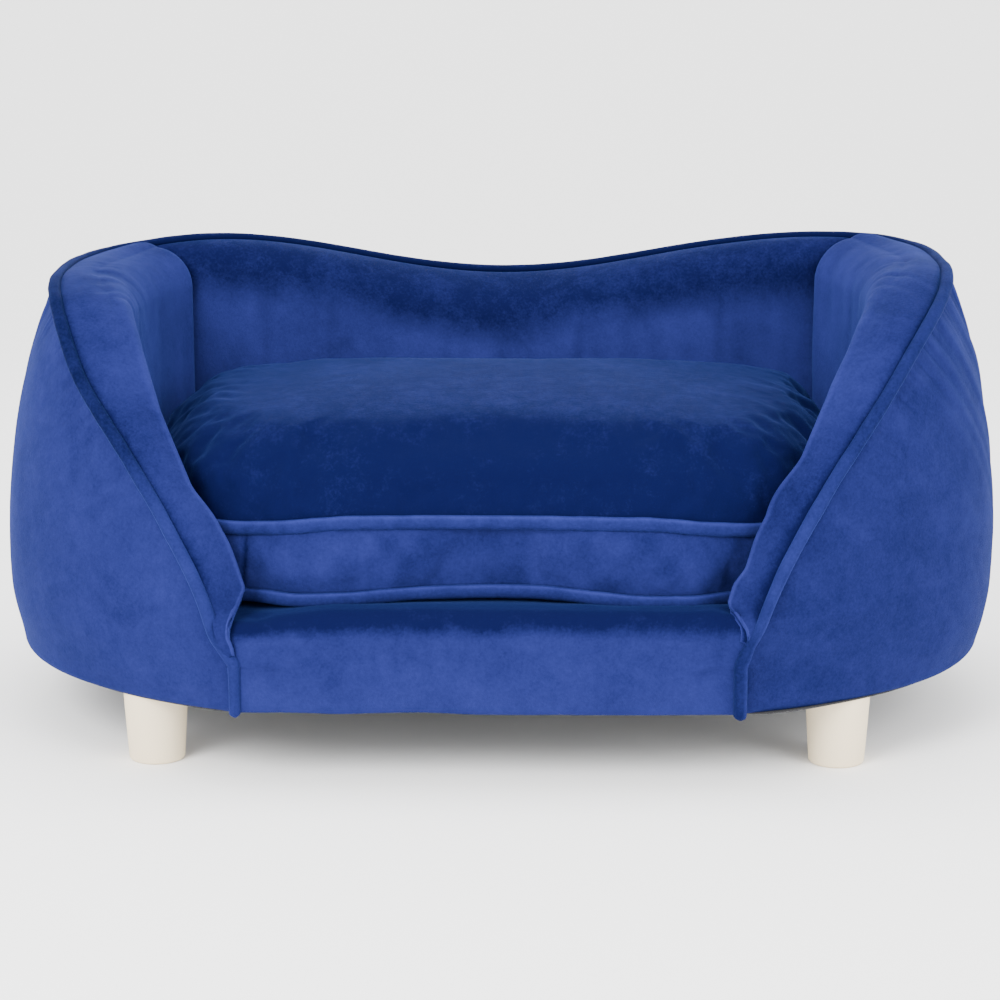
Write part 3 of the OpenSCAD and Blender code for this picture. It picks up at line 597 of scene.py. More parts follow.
band_columns = 30
arc_columns = 15
drop_columns = 25
arm_columns = band_columns + arc_columns + drop_columns
fold_column = band_columns + 5
arm_rear_run = 0.13
before_rail = 0.0018
t = np.concatenate([0.001 + 0.999*np.linspace(0, 1, 150)**1.4, np.linspace(1, 2, 70)[1:]])
close = 2 - np.array([0.06, 0.045, 0.03, 0.018, 0.009, 0.003, 0.0])
arm_shares = np.concatenate([t[(2 - t)*arm_rear_run > 0.009], close])
side_words = {-1: "left", 1: "right"}


def arm_piece(side):
    """The velvet from the piping over the arm's pad and down its inner face; side is -1 for left."""
    t = arm_shares
    end = (2 - t)*arm_rear_run
    wall = Wall(t if side < 0 else 6 - t)
    u, z, n_u, n_z, held = soft_edge(wall, end)
    place = wall.at(u, z)
    s = wall.s[:, None]
    across = np.cumsum(np.hypot(np.diff(u, axis=1, prepend=u[:, :1]),
                                np.diff(z, axis=1, prepend=z[:, :1])), 1)
    run = wall.run[:, None] + 0*z
    free = smooth(across/0.012)*smooth((z - deck_top)/0.02)
    streaks = soft_noise(np.stack([run, z*0.15, 0*z], -1), 0.014, 21 + side)
    shoulder = hill(t, 1.0, 0.30)[:, None]*(1 - 0.4*n_u)
    fan = np.stack([run - 0.9*across, 0.25*across, 0*z], -1)
    wrinkle = soft_noise(fan, 0.0075, 24 + side)*smooth((across - 0.012)/0.025)
    push = free*(0.0012*soft_noise(place, 0.045, 27) + 0.0004*streaks*n_u
                 + 0.0011*wrinkle*shoulder)
    ridge = 0.0009*(1 - s**2)*hill(n_u, 0.75, 0.35)*(n_u > 0)*(n_u < 1)
    push = push + ridge*smooth(t/0.1)[:, None]
    rim = wall.rim[:, None]
    on_band = z - rim > 0
    settled = smooth(wall.s/0.075)[:, None]
    z_here = np.where(on_band, rim + (z - rim)*settled, z)
    tip = 1 - smooth((s - 0.035)/0.03)
    hidden = np.clip(np.arange(arm_columns) - band_columns - arc_columns + 1, 0, drop_columns)
    hidden = hidden[None, :]/drop_columns
    fold = z_here[:, fold_column:fold_column + 1]
    z_here = np.where(hidden > 0, z_here + (fold - 0.004*hidden - z_here)*tip, z_here)
    points = wall.at(u + n_u*push, z_here + n_z*push)
    in_front = rail_face(as_sewn(points)[..., 2]) - before_rail + 0.005*hidden*tip
    forward = np.minimum(in_front - points[..., 1], 0)*(1 - smooth((s - 0.035)/0.045))
    points[..., 1] += forward*np.where(hidden > 0, smooth((tip - 0.7)/0.3), 1)
    tuck_in = points[-1:] - 0.010*n_u[-1:, :, None]*np.append(wall.way[-1], 0)
    tuck_in = tuck_in - 0.010*(n_z[-1:]*held[-1:])[:, :, None]*np.array([0, 0, 1.0])
    points = as_sewn(np.concatenate([points, tuck_in]))
    edge = points[:, fold_column]
    pull = np.interp(edge[:, 2], fold_z[side], fold_x[side]) - edge[:, 0]
    pull = pull*(1 - smooth((np.append(wall.s, 1) - 0.08)/0.14))
    share = np.clip(across/across[:, fold_column:fold_column + 1], 0, 1)
    share = np.concatenate([share, share[-1:]])
    below_fold = smooth((edge[:, 2:] - points[..., 2])/ear_return)*(share == 1)
    below_fold = below_fold*(side*pull < 0)[:, None]
    points[..., 0] += pull[:, None]*share*(1 - below_fold)
    inner_face = n_u**3
    # Painted light and shade on the arm: the inner face is set lighter than the top, from the pile's
    # direction together with painted light; wrinkle ridges, the rounded inner edge and the folded edge
    # at the front end carry painted highlights, and the top is set darker towards the piping. The soft
    # noise and streaks are the pile's own tone.
    nap_and_painted_light = 0.34 + 0.38*inner_face + 0.12*soft_noise(place, 0.05, 29) + 0.08*streaks*inner_face
    nap_and_painted_light = nap_and_painted_light + 0.10*wrinkle*shoulder + 0.25*hill(n_u, 0.5, 0.22)*(1 - s)**2
    nap_and_painted_light = nap_and_painted_light + 0.24*hill(n_u, 0.6, 0.3)*(n_u < 0.99)*hill(s, 0, 0.05)
    nap_and_painted_light = nap_and_painted_light + 0.16*(share[:-1] - 0.6)*(n_z > 0)*hill(s, 0.5, 0.35)
    # A painted shadow line runs beside the piping; on the left it fades out at the arm's front end.
    seam_shadow = 0.45 if side > 0 else 0.45*smooth((s - 0.03)/0.06)
    nap_and_painted_light = nap_and_painted_light - seam_shadow*hill(across, 0, 0.005)
    nap_and_painted_light = np.concatenate([nap_and_painted_light, nap_and_painted_light[-1:]])
    if side > 0:
        points = points[::-1]
        nap_and_painted_light = nap_and_painted_light[::-1]
    word = side_words[side]
    made = sew("arm_velvet_" + word, points, nap_and_painted_light, sofa_velvet, inner_velvet_t)
    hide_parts("arm_cover_" + word, "arm_pad_" + word)
    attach(made, "sofa")
    return made


fold_peek = {-1: 0.0036, 1: 0.0064}
fold_ends = {-1: (0.013, 0.048), 1: (0.0025, 0.021)}
fold_hidden = 0.004
fold_shape = {-1: (0.35, 0.35, 0.85), 1: (0.15, 0.3, 0.8)}


def arm_fold(side, arm):
    """The second layer of the band's turned-in end, which shows as a lip below the first."""
    rows = len(arm.data.vertices)//arm_columns
    line = corners(arm).reshape(rows, arm_columns, 3)[:, fold_column]
    if side > 0:
        line = line[::-1]
    first, last = np.searchsorted(arm_shares, fold_ends[side])
    line = line[first:last]
    share = np.linspace(0, 1, len(line))
    way = np.gradient(line, axis=0)
    way /= np.linalg.norm(way, axis=1)[:, None]
    down = -side*np.stack([way[:, 2], 0*share, -way[:, 0]], -1)
    rise, narrow, end = fold_shape[side]
    peek = fold_peek[side]*smooth(share/rise)*(1 - narrow*share)
    peek = peek*(1 - smooth((share - end)/(1 - end)))
    q = np.linspace(0, 1, 10)[None, :, None]
    points = line[:, None] + down[:, None]*(-fold_hidden + (peek[:, None, None] + fold_hidden)*q)
    points = points + np.array([0, 1.0, 0])*(0.0014 - 0.0006*q*q)
    over_rail = rail_face(points[..., 2]) - 0.0010 + 5*np.maximum(points[..., 2] - deck_top, 0)
    points[..., 1] = np.minimum(points[..., 1], over_rail)
    if side < 0:
        points = points[:, ::-1]
    # The lip is painted dark just below the fold, as its shadow, and painted light at its edge, as a
    # highlight.
    made = sew("arm_fold_" + side_words[side], points, -0.2 + 0.95*q[..., 0]**4, sofa_velvet,
               inner_velvet_t)
    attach(made, "sofa")


arms = {side: arm_piece(side) for side in (-1, 1)}
for side, arm in arms.items():
    arm_fold(side, arm)

# Back. The same pad and cover between the arms, with a broad roll at the top; the velvet hangs
# from the roll in shallow upright pleats.
share = np.linspace(0, 1, 170)
t = np.concatenate([[2.0, 2.002, 2.006, 2.012, 2.02, 2.03],
                    2 + 2*share[(share > 0.02) & (share < 0.98)],
                    [3.97, 3.98, 3.988, 3.994, 3.998, 4.0]])
wall = Wall(t)
end = np.minimum(t - 2, 4 - t)*0.25
roll_h = 0.042
rim = wall.rim[:, None]
u0 = inset(rim) + 0.4*pipe_r
a = np.linspace(0.0, math.pi/2, 44)[None, :]
z_mid = rim - roll_h
roll_u = u0 + (wall.depth[:, None] - u0)*np.sin(a)**0.9
roll_z = z_mid - 0.0015 + roll_h*np.cos(a)**0.85 - 0.002*(1 - smooth(a/0.12))
drop = np.linspace(0, 1, 34)[None, 1:]
z = np.concatenate([roll_z, roll_z[:, -1:] + (velvet_foot_z - roll_z[:, -1:])*drop], 1)
u = np.concatenate([roll_u, wall.depth[:, None] + 0*roll_z[:, -1:]*drop], 1)
n_u = np.concatenate([np.sin(a) + 0*rim, 1 + 0*rim*drop], 1)
n_z = np.concatenate([np.cos(a) + 0*rim, 0*rim*drop], 1)
held = np.concatenate([smooth(a/0.5) + 0*rim, 1 + 0*rim*drop], 1)
off = back_off(end, back_end_r, held)
u = u - n_u*off
z = z - n_z*off
place = wall.at(u, z)
pleat_at = np.stack([place[..., 0], z*0.10, 0*z], -1)
pleats = soft_noise(pleat_at, 0.016, 31) + 0.5*soft_noise(pleat_at, 0.007, 32)
free = smooth((n_u - 0.1)/0.5)*smooth((z - deck_top)/0.02)
push = free*(0.0012*pleats*(0.7 + 0.6*smooth((place[..., 0] - 0.05)/0.1))
             + 0.0015*soft_noise(place, 0.07, 33))
points = wall.at(u + n_u*push, z + n_z*push)
caps = []
for row in (0, -1):
    caps.append(points[row] - 0.008*n_u[row][:, None]*np.append(wall.way[row], 0)
                - 0.008*(n_z[row]*held[row])[:, None]*np.array([0, 0, 1.0]))
points = as_sewn(np.concatenate([caps[0][None], points, caps[1][None]]))
# Painted light and shade on the back: the top of the roll is painted dark and the band below it
# lighter, the pleat ridges in that band are painted lighter as highlights, and a painted shadow line
# runs beside the piping. The soft noise is the pile's own tone.
wander = 0.006*soft_noise(np.stack([place[..., 0], 0*z, 0*z], -1), 0.06, 35)
low_band = smooth((rim - z - 0.024 + wander)/0.030)
nap_and_painted_light = 0.05 + 0.62*low_band + 0.18*pleats*free*low_band + 0.08*soft_noise(place, 0.04, 34)*low_band
nap_and_painted_light = nap_and_painted_light - 0.3*hill(u, u0, 0.005)
nap_and_painted_light = np.concatenate([nap_and_painted_light[:1], nap_and_painted_light, nap_and_painted_light[-1:]])
back = sew("back_velvet", points, nap_and_painted_light, sofa_velvet, inner_velvet_t)
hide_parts("back_cover", "back_pad")
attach(back, "sofa")

# Front rail. Foam and velvet run from under the base over the rounded edge and back over the
# front of the deck, between the two front seams.
rail_end_x = seam_x - pipe_r - 0.0003
rail_back_y = front_y + 0.062
rail_low_r = 0.004


def well_half(y):
    """Half width of the well between the arms' inner faces, at a depth y."""
    front = inner_a*(1 - np.clip((middle_y - y)/inner_b, 0, 1)**inner_round)**(1/inner_round)
    rear = inner_a*np.sqrt(1 - (np.clip(y - middle_y, 0, 1)/inner_rear_b)**2)
    return np.where(y > middle_y, rear, front)


under = np.linspace(1, 0, 7)[:-1]
low_arc = np.linspace(0, math.pi/2, 14)[::3]
up = np.linspace(0, 1, 22)[1:]
top_arc = np.linspace(0, math.pi/2, 14)[1:]
over = np.linspace(0, 1, 14)[1:]
y = front_y + np.concatenate([
    rail_low_r + (hem_w - rail_low_r)*under, rail_low_r*(1 - np.sin(low_arc)), 0*up,
    rail_r*(1 - np.cos(top_arc)), rail_r + (rail_back_y - front_y - rail_r)*over])
z = np.concatenate([hem_z + 0*under, hem_z + rail_low_r*(1 - np.cos(low_arc)),
                    hem_z + rail_low_r + (deck_top - rail_r - hem_z - rail_low_r)*up,
                    deck_top - rail_r + rail_r*np.sin(top_arc), deck_top + 0*over])
tip_y = front_y + arm_tip_t
half = np.where(y < tip_y, rail_end_x + 0.002, well_half(np.maximum(y, tip_y)) - 0.0003)
half = np.where(z > tip_z - 0.004, np.maximum(half, seam_x + 0.006), half)
across = np.linspace(-1, 1, 150)[:, None]
place = np.stack([across*half, y + 0*across, z + 0*across], -1)
n_y = -np.concatenate([0*under, np.sin(low_arc), 1 + 0*up, np.cos(top_arc), 0*over])
n_z = np.concatenate([-1 + 0*under, -np.cos(low_arc), 0*up, np.sin(top_arc), 1 + 0*over])
inside = smooth((0.91 - np.abs(across))/0.10)
puff = 0.0028*inside*smooth((z - hem_z)/0.02)*(1 - smooth((y - front_y - 0.02)/0.03))
push = puff + inside*(0.0008*soft_noise(place, 0.05, 41) + 0.0004*soft_noise(place, 0.02, 42))
place[..., 1] += 0.0025*smooth((np.abs(place[..., 0]) - 0.164)/0.006)
points = as_sewn(place + push[..., None]*np.stack([0*n_y, n_y, n_z], -1))
# Painted light and shade on the rail: the deck and the rounded top edge are painted dark, the front
# face is painted lighter, and lighter still low down. The soft noise is the pile's own tone.
lit = smooth((0.1095 - z + 0.0015*soft_noise(place, 0.02, 44))/0.011)
nap_and_painted_light = -0.06 + 0.54*lit + 0.14*smooth((0.10 - z)/0.05) + 0.08*soft_noise(place, 0.04, 43)*lit
rail = sew("rail_velvet", points, nap_and_painted_light, sofa_velvet, inner_velvet_t)
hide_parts("rail_cover", "rail_pad")
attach(rail, "sofa")

# Piping. A velvet-covered cord with a stitched lip, sewn in up both front seams and round the
# whole rim. It wanders a little, and its lip stands up as a fine edge on the outer side.
def piping(name, line, inward, width, height, nap_and_painted_light, material, seed, ring=False, swell=1.0):
    """A tube along points, wider along the inward way than across it, with a fine lip."""
    lip = 0.0006
    if ring:
        tangent = np.roll(line, -1, 0) - np.roll(line, 1, 0)
    else:
        tangent = np.gradient(line, axis=0)
    tangent /= np.linalg.norm(tangent, axis=1)[:, None]
    a = inward - tangent*np.sum(tangent*inward, 1)[:, None]
    a /= np.linalg.norm(a, axis=1)[:, None]
    b = np.cross(tangent, a)
    w = np.linspace(0, 2*math.pi, 28, endpoint=False)
    turn = np.abs((w - math.radians(135) + math.pi) % (2*math.pi) - math.pi)
    edge = 1 + lip/width*hill(turn, 0, 0.22)
    size = (1 + 0.05*soft_noise(line, 0.012, seed))*swell
    if not ring:
        step = np.linalg.norm(np.diff(line, axis=0), axis=1)
        run = np.concatenate([[0], np.cumsum(step)])
        near = np.clip(1 - np.minimum(run, run[-1] - run)/0.0035, 0, 0.95)
        size = size*np.sqrt(1 - near**2)
    ring_a = (size[:, None]*width*np.cos(w)*edge)[..., None]*a[:, None]
    ring_b = (size[:, None]*height*np.sin(w)*edge)[..., None]*b[:, None]
    points = line[:, None] + ring_a + ring_b
    n = len(w)
    faces = list(grid_faces(len(line), n, ring_rows=ring, ring_columns=True))
    if not ring:
        faces += [range(n)[::-1], range((len(line) - 1)*n, len(line)*n)]
    made = mesh_object(name, points.reshape(-1, 3), faces, material)
    # Painted highlight along the lip on the outer side, and painted shade on the seam side of the tube;
    # the soft noise is the pile's own tone.
    light = nap_and_painted_light + 0.30*hill(turn, 0, 0.3) + 0.06*soft_noise(line, 0.01, seed + 1)[:, None]
    set_nap_and_painted_light(made, light - 0.25*hill(np.minimum(w, 2*math.pi - w), 0, 0.6))
    return made


pipe_deep = (0.0014, 0.0026, 0.022)
pipe_light = (0.0225, 0.0295, 0.158)
rim_welt_w = 0.0044
rim_welt_h = 0.0034
seam_foot_z = 0.0472
piping_velvet = velvet("Piping velvet", pipe_deep, pipe_light, contrast=0.2)
t = np.concatenate([0.004 + 0.996*np.linspace(0, 1, 260)**1.25, np.linspace(1, 3, 320)[1:]])
t = np.concatenate([t, 6 - t[-2::-1]])
wall = Wall(t)
rim = wall.rim[:, None]
line = wall.at(inset(rim), rim)[:, 0]
way = np.concatenate([wall.way, 0*rim], 1)
foot = seam_foot_z + (tip_z - 0.001 - seam_foot_z)*np.linspace(0, 1, 40)**1.4
stub = np.stack([0*foot - seam_x, 0*foot + front_y, foot], -1)
other = stub[::-1]*[-1, 1, 1]
line = np.concatenate([stub, line, other])
way = np.concatenate([np.broadcast_to(way[0], stub.shape), way, np.broadcast_to(way[-1], stub.shape)])
line = line + way*(0.0006*soft_noise(line, 0.03, 51))[:, None]
line = as_sewn(line - 0.0012*way)
# Painted light along the rim piping: lighter where it runs low down the front, less so towards the
# right, lighter again at the right arm's front, and painted darker at the foot of the right seam.
painted_facing_light = smooth((0.23 - line[:, 2])/0.07)*(1 - 0.35*smooth(line[:, 0]/0.1))
painted_facing_light = painted_facing_light + 0.45*smooth((line[:, 0] - 0.1)/0.12)*smooth((0.02 - line[:, 1])/0.1)
painted_facing_light = painted_facing_light*(1 - 0.6*smooth((0.12 - line[:, 2])/0.03)*(line[:, 0] > 0))
low_end = 1 - smooth((line[:, 2] - 0.075)/0.025)
swell = 1 + low_end*np.where(line[:, 0] > 0, 0.28, -0.08)
welt = piping("rim_welt", line, way, rim_welt_w, rim_welt_h, 0.06 + 0.38*painted_facing_light[:, None],
              piping_velvet, 52, swell=swell)
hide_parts("rim_piping")
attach(welt, "sofa")

# Linings. Black spunbonded cloth lies over the deck's foam and closes the underside, where it is
# stapled inside the hem.
lining, tree, shader = new_material("Black nonwoven", roughness=0.9)
place = add_node(tree, "ShaderNodeTexCoord").outputs["Object"]
dots = add_node(tree, "ShaderNodeTexVoronoi", {"Vector": place, "Scale": 420.0,
                "Randomness": 0.15}).outputs["Distance"]
threads = noise(tree, Vector=place, Scale=1800.0, Detail=3.0)
surface(tree, shader, add_ramp(tree, dots, [(0.2, (0.012, 0.012, 0.014)), (0.5, (0.03, 0.03, 0.033))]),
        add_bump(tree, math_node(tree, "ADD", dots, threads), 0.0002))


def lining_piece(name, y, half, z, seed, nodes):
    """A flat cloth over the depths y, as wide there as twice half, with its own flat size."""
    across = np.linspace(-1, 1, 120)[:, None]
    place = np.stack([across*half, y + 0*across, z + 0*across + 0*y], -1)
    place[..., 2] += 0.0003*soft_noise(place, 0.05, seed)
    made = sew(name, place, 0.5, lining, 0.0006)
    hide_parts(*nodes)
    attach(made, "sofa")


y = np.linspace(rail_back_y + 0.0003, back_y - 0.0005, 90)
half = well_half(y) - 0.0006 + 0.012*smooth((y - back_y + 0.028)/0.02)
lining_piece("deck_lining", y, half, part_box("deck_cloth")[1][2] - 0.0004, 61,
             ("deck_cloth", "deck_pad"))
y = np.linspace(front_y + 0.010, outer_back_y - 0.016, 110)
front_half = half_w*(1 - np.clip((middle_y - y)/front_b, 0, 1)**front_round)**(1/front_round)
half = np.where(y > middle_y, rear_x(y), front_half) - inset(hem_z) - 0.010
lining_piece("base_lining", y, half, 0.0484, 62, ("dust_cover",))

# Cushion. A loose boxed cushion: a crowned top panel, a boxing strip and a flat bottom, sewn with
# piping in both seams and filled until the top domes up. It is blown up as cloth with the seams
# held, which gives the slack panels their puckers.
cushion_a = inner_a - 0.010
cushion_front_b = inner_b - 0.010
cushion_rear_b = inner_rear_b - 0.010
cushion_front = middle_y - front_y - 0.037
cushion_rear = back_y - 0.024 - middle_y
corner_sharp = 14
cushion_z = deck_top + 0.0003
low_seam_z = cushion_z + 0.003
high_seam_z = low_seam_z + 0.051
crown_rise = 0.0642
panel_in = 0.004
seam_in = 0.0025


def cushion_plan(a, w):
    """Radius of the cushion's outline from the middle, w inside it, at angles a."""
    rear = np.sin(a) > 0
    n = np.where(rear, 2, inner_round)
    b = np.where(rear, cushion_rear_b, cushion_front_b) - w
    cut = np.where(rear, cushion_rear, cushion_front) - w
    oval = ((np.abs(np.cos(a))/(cushion_a - w))**n + (np.abs(np.sin(a))/b)**n)**(1/n)
    return (oval**corner_sharp + (np.abs(np.sin(a))/cut)**corner_sharp)**(-1/corner_sharp)


def even_angles(w, count):
    """Angles that step evenly along the outline, so that the corners get their share."""
    a = np.linspace(0, 2*math.pi, 20001)
    r = cushion_plan(a, w)
    step = np.hypot(np.diff(r*np.cos(a)), np.diff(r*np.sin(a)))
    run = np.concatenate([[0], np.cumsum(step)])
    return np.interp(np.linspace(0, run[-1], count, endpoint=False), run, a)


corner_droop = 0.007
seam_lift = 0.005
front_swell = 0.009


def as_filled(points):
    """The filled case's unevenness: its front corners droop, its lower seam lifts between them
    and swells forward on each side."""
    x, y, z = np.moveaxis(points, -1, 0)
    front = smooth((-0.10 - y)/0.05)
    level = (z - low_seam_z)/(high_seam_z - low_seam_z)
    droop = corner_droop*front*smooth((np.abs(x) - 0.09)/0.09)
    droop = droop*smooth(level)*(1 - smooth((level - 1)/0.9))
    lift = seam_lift*front*(1 - smooth((np.abs(x + 0.01) - 0.03)/0.09))*(1 - smooth(level/0.6))
    swell = front_swell*front*smooth(np.abs(x)/0.10)*(1 - smooth((np.abs(x) - 0.125)/0.035))
    swell = swell*(1 - 0.6*smooth(level))
    return np.stack([x, y - swell, z - droop + lift], -1)


def cushion_ring(a, w, f, z):
    """Points at angles a and a height z, at a share f of the outline w inside the cushion's."""
    r = cushion_plan(a, w)*f
    return as_filled(np.stack([r*np.cos(a), middle_y + r*np.sin(a), 0*a + z], -1))


def cushion_body():
    """The sewn case before it is filled, in rings from the bottom's middle to the top's."""
    a = even_angles(0.0, 260)
    rings = [cushion_ring(a, panel_in, f, cushion_z) for f in (0.05, 0.3, 0.6, 0.85, 0.97)]
    rings.append(cushion_ring(a, seam_in, 1, low_seam_z))
    for f in np.linspace(0, 1, 9):
        rings.append(cushion_ring(a, panel_in*(1 - math.sin(math.pi*f)), 1,
                                  low_seam_z + 0.003 + 0.045*f))
    rings.append(cushion_ring(a, seam_in, 1, high_seam_z))
    for f in np.cos(np.linspace(0.02, math.pi/2, 26))[:-1]:
        rings.append(cushion_ring(a, panel_in, f, high_seam_z + crown_rise*(1 - f**2)**0.19))
    rings.append(cushion_ring(a, panel_in, 0.03, high_seam_z + crown_rise))
    points = np.concatenate(rings)
    faces = [tuple(f) for f in grid_faces(len(rings), len(a), ring_columns=True)]
    faces = [f[::-1] for f in faces]
    n = len(a)
    faces += [tuple(range(n))[::-1], tuple(range((len(rings) - 1)*n, len(rings)*n))]
    return points, faces


cushion_velvet = velvet("Cushion velvet", (0.0020, 0.0034, 0.029), (0.0205, 0.0258, 0.138),
                        patch=36.0)
points, faces = cushion_body()
cushion = mesh_object("cushion_velvet_case", points, faces, cushion_velvet)
puff_cap = 0.007
boxing_give = 0.0007
side_pucker = 0.0013
end_seam_x = -0.164
end_seam_w = 0.0017
end_seam_depth = 0.0012
zip_sunk = 0.0044
zip_press = 0.012


def bake_modifiers(piece):
    """Makes the evaluated mesh the piece's own, so that no modifier is left on it."""
    done = bpy.data.meshes.new_from_object(piece.evaluated_get(bpy.context.evaluated_depsgraph_get()))
    piece.modifiers.clear()
    piece.data = done


remesh = cushion.modifiers.new("even", "REMESH")
remesh.mode = "VOXEL"
remesh.voxel_size = 0.0045
relax = cushion.modifiers.new("relax", "SMOOTH")
relax.factor = 0.5
relax.iterations = 4
bake_modifiers(cushion)
before = corners(cushion)
angle = np.arctan2(before[:, 1] - middle_y, before[:, 0])
outline = cushion_plan(angle, 0.0)
gap = outline - np.hypot(before[:, 0], before[:, 1] - middle_y)
seams = [cushion_ring(angle, seam_in, 1, z)[:, 2] for z in (low_seam_z, high_seam_z)]
seam = np.min([np.abs(before[:, 2] - z) for z in seams], 0) < 0.0035
pinned = (seam & (gap < 0.009)) | (before[:, 2] < low_seam_z)
group = cushion.vertex_groups.new(name="seams")
group.add([int(i) for i in np.flatnonzero(pinned)], 1.0, "REPLACE")
cloth = cushion.modifiers.new("blow up", "CLOTH")
settings = {"quality": 5, "mass": 0.3, "tension_stiffness": 15, "compression_stiffness": 15,
            "bending_stiffness": 0.6, "use_pressure": True, "uniform_pressure_force": 4,
            "shrink_min": -0.025, "vertex_group_mass": "seams"}
for key, value in settings.items():
    setattr(cloth.settings, key, value)
cloth.settings.effector_weights.gravity = 0
cloth.collision_settings.use_collision = False
for step in range(1, 21):
    bpy.context.scene.frame_set(step)
blown = corners(cushion.evaluated_get(bpy.context.evaluated_depsgraph_get()))
cushion.modifiers.clear()
moved = blown - before
length = np.linalg.norm(moved, axis=1, keepdims=True)
moved *= np.minimum(1, puff_cap/np.maximum(length, 1e-9))
cushion.data.vertices.foreach_set("co", (before + moved).ravel())
cushion.data.update()
bpy.context.scene.frame_set(1)
rounder = cushion.modifiers.new("rounder", "SUBSURF")
rounder.levels = 1
rounder.render_levels = 1
bake_modifiers(cushion)
now = corners(cushion)
normals = np.empty(len(now)*3)
cushion.data.vertices.foreach_get("normal", normals)
angle = np.arctan2(now[:, 1] - middle_y, now[:, 0])
seam_here = cushion_ring(angle, seam_in, 1, high_seam_z)[:, 2]
crown = now[:, 2] - seam_here
on_boxing = smooth(-crown/0.008)*smooth((now[:, 2] - low_seam_z)/0.008)
slant = np.stack([0.35*(now[:, 0] - now[:, 1]), now[:, 0] + now[:, 1], 0.5*now[:, 2]], -1)
at_side = smooth((np.abs(now[:, 0]) - 0.15)/0.05)*smooth(crown/0.02)
end_seam = hill(now[:, 0], end_seam_x + 0.004*soft_noise(now, 0.03, 75), end_seam_w)
end_seam = end_seam*on_boxing*(now[:, 1] < middle_y)
give = boxing_give*soft_noise(now, 0.016, 73)*on_boxing
give = give + side_pucker*soft_noise(slant, 0.011, 74)*at_side - end_seam_depth*end_seam
now = now + normals.reshape(-1, 3)*give[:, None]
zip_low, zip_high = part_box("zip_tape")
zip_z = (zip_low[2] + zip_high[2])/2
zip_half_h = (zip_high[2] - zip_low[2])/2
under_zip = smooth((zip_high[0] + 0.010 - np.abs(now[:, 0]))/0.008)
under_zip = under_zip*smooth((zip_half_h + 0.007 - np.abs(now[:, 2] - zip_z))/0.005)
now[:, 1] -= under_zip*np.clip(now[:, 1] - zip_high[1] + zip_sunk, 0, zip_press)
cushion.data.vertices.foreach_set("co", now.ravel())
# The top panel is set dark and the boxing light, from the pile's direction together with painted shade;
# the crown's highest part is painted lighter as a highlight, and the boxing's end seam carries a
# painted shadow line. The soft noise is the pile's own mottling.
nap_and_painted_light = np.where(crown > 0.003, -0.05 + 0.10*smooth((crown - 0.045)/0.025), 0.42)
nap_and_painted_light = nap_and_painted_light + 0.05*soft_noise(now, 0.05, 71) + 0.16*soft_noise(now, 0.014, 72)*on_boxing - 0.4*end_seam
set_nap_and_painted_light(cushion, nap_and_painted_light)
cushion.data.polygons.foreach_set("use_smooth", [True]*len(cushion.data.polygons))
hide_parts("cushion_core", "cushion_top_panel", "cushion_boxing", "cushion_bottom_panel")
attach(cushion, "cushion")

# Cushion piping. Two more lengths of velvet-covered cord, flatter than the rim's, are sewn into
# the cushion's seams, one round the top panel and one round the bottom.
cushion_welt_w = 0.0028
cushion_welt_h = 0.0046
cushion_piping_velvet = velvet("Cushion piping velvet", pipe_deep, pipe_light, patch=40.0)
for name, z, node, seed in (("cushion_welt_top", high_seam_z, "cushion_piping_top", 81),
                            ("cushion_welt_bottom", low_seam_z, "cushion_piping_bottom", 84)):
    a = even_angles(0.003, 700)
    line = cushion_ring(a, 0.0015, 1, z)
    way = np.stack([-np.cos(a), -np.sin(a), 0*a], -1)
    line = line + np.array([0, 0, 1.0])*(0.0005*soft_noise(line, 0.04, seed))[:, None]
    made = piping(name, line, way, cushion_welt_w, cushion_welt_h, 0.42, cushion_piping_velvet,
                  seed, ring=True)
    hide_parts(node)
    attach(made, "cushion")

# Zip. A nylon coil zip closes the rear of the boxing: a woven tape lies on the velvet, and the
# coil's turns stand along its middle. The slider and its pull are plated zinc.
tape_cloth, tree, shader = new_material("Zip tape", roughness=0.8)
shader["Specular IOR Level"].default_value = 0.12
place = add_node(tree, "ShaderNodeTexCoord").outputs["Object"]
ribs = add_node(tree, "ShaderNodeTexWave", {"Vector": place, "Scale": 260.0, "Distortion": 0.6},
                bands_direction="X").outputs["Fac"]
surface(tree, shader, add_ramp(tree, ribs, [(0.2, (0.004, 0.008, 0.04)), (0.8, (0.012, 0.022, 0.09))]),
        add_bump(tree, ribs, 0.0002))
finish_cad(zinc, "zip_slider", "zip_pull")
coil_y = zip_high[1] - 0.0012
wide = np.linspace(zip_low[0], zip_high[0], 200)[:, None]
tall = np.linspace(-1, 1, 26)[None, :]
tape_y = coil_y - 0.0004 - 0.0012*(1 - np.cos(tall*math.pi/2))
points = np.stack([wide + 0*tall, tape_y + 0*wide, zip_z + zip_half_h*tall + 0*wide], -1)
tape = sew("zip_woven_tape", points[::-1], 0.5, tape_cloth, 0.0007)
turn_pitch = 0.0016
coil_r = 0.00095
wire_r = 0.0003
turns = int((zip_high[0] - zip_low[0])/turn_pitch)
k = np.linspace(0, 2*math.pi*turns, turns*12)
line = np.stack([zip_low[0] + turn_pitch*k/(2*math.pi), coil_y + coil_r*np.cos(k),
                 zip_z + coil_r*np.sin(k)], -1)
outward = np.stack([0*k, np.cos(k), np.sin(k)], -1)
way = np.gradient(line, axis=0)
across = np.cross(way, outward)
across /= np.linalg.norm(across, axis=1)[:, None]
w = np.linspace(0, 2*math.pi, 6, endpoint=False)
points = line[:, None] + wire_r*(np.cos(w)[None, :, None]*outward[:, None]
                                 + np.sin(w)[None, :, None]*across[:, None])
coil = mesh_object("zip_coil", points.reshape(-1, 3), grid_faces(len(line), 6, ring_columns=True),
                   tape_cloth)
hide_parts("zip_tape")
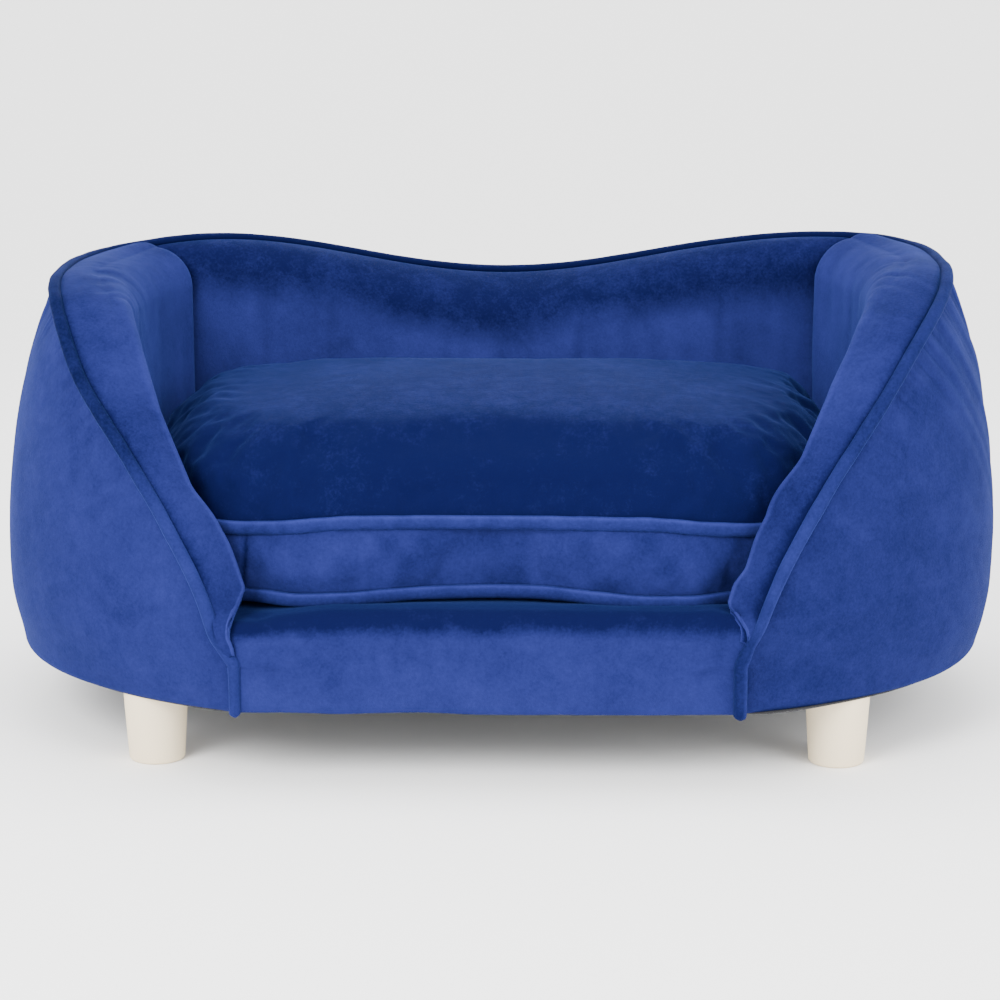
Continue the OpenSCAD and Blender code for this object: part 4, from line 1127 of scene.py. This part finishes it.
for piece in (tape, coil):
    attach(piece, "cushion")

# Floor, backdrop, lights and camera. A plain pale sweep curves up behind the sofa, with soft
# light from all sides; the camera stands two metres off and looks a little down.
paper, tree, shader = new_material("White sweep", base_color=(0.95, 0.95, 0.95, 1), roughness=0.9)
bend = np.linspace(0, math.pi/2, 16)
bend_y = 1.5
bend_r = 1.5
sweep = np.concatenate([
    [[-3.0, 0.0], [bend_y, 0.0]],
    np.stack([bend_y + bend_r*np.sin(bend), bend_r*(1 - np.cos(bend))], -1),
    [[bend_y + bend_r, 4.0]]])
across = np.array([-4.0, 4.0])[:, None]
points = np.stack([across + 0*sweep[:, 0], sweep[:, 0] + 0*across, sweep[:, 1] + 0*across], -1)
floor = mesh_object("sweep", points.reshape(-1, 3), grid_faces(2, len(sweep)), paper)


def area_light(name, place, target, size, power):
    data = bpy.data.lights.new(name, "AREA")
    data.shape = "DISK"
    data.size = size
    data.energy = power
    made = bpy.data.objects.new(name, data)
    made.location = place
    made.rotation_euler = (Vector(target) - Vector(place)).to_track_quat("-Z", "Y").to_euler()
    bpy.context.scene.collection.objects.link(made)


area_light("key", (-1.2, -1.8, 1.6), (0, 0, 0.15), 1.4, 95)
area_light("fill", (1.6, -1.4, 1.1), (0, 0, 0.15), 1.6, 45)
area_light("top", (0, 0.3, 2.2), (0, 0, 0.1), 1.8, 40)
world = bpy.data.worlds.new("studio")
bpy.context.scene.world = world
world.use_nodes = True
world.node_tree.nodes["Background"].inputs["Color"].default_value = (1, 1, 1, 1)
world.node_tree.nodes["Background"].inputs["Strength"].default_value = 2.2

camera_data = bpy.data.cameras.new("camera")
camera_data.lens = 104.6
camera_data.sensor_width = 36
camera = bpy.data.objects.new("camera", camera_data)
yaw = math.radians(1.0)
tilt = math.radians(90 - 12.88)
away = 2.0
camera.location = (away*math.sin(yaw), -away*math.cos(yaw), 0.6)
camera.rotation_euler = (tilt, 0, yaw)
bpy.context.scene.collection.objects.link(camera)
bpy.context.scene.camera = camera
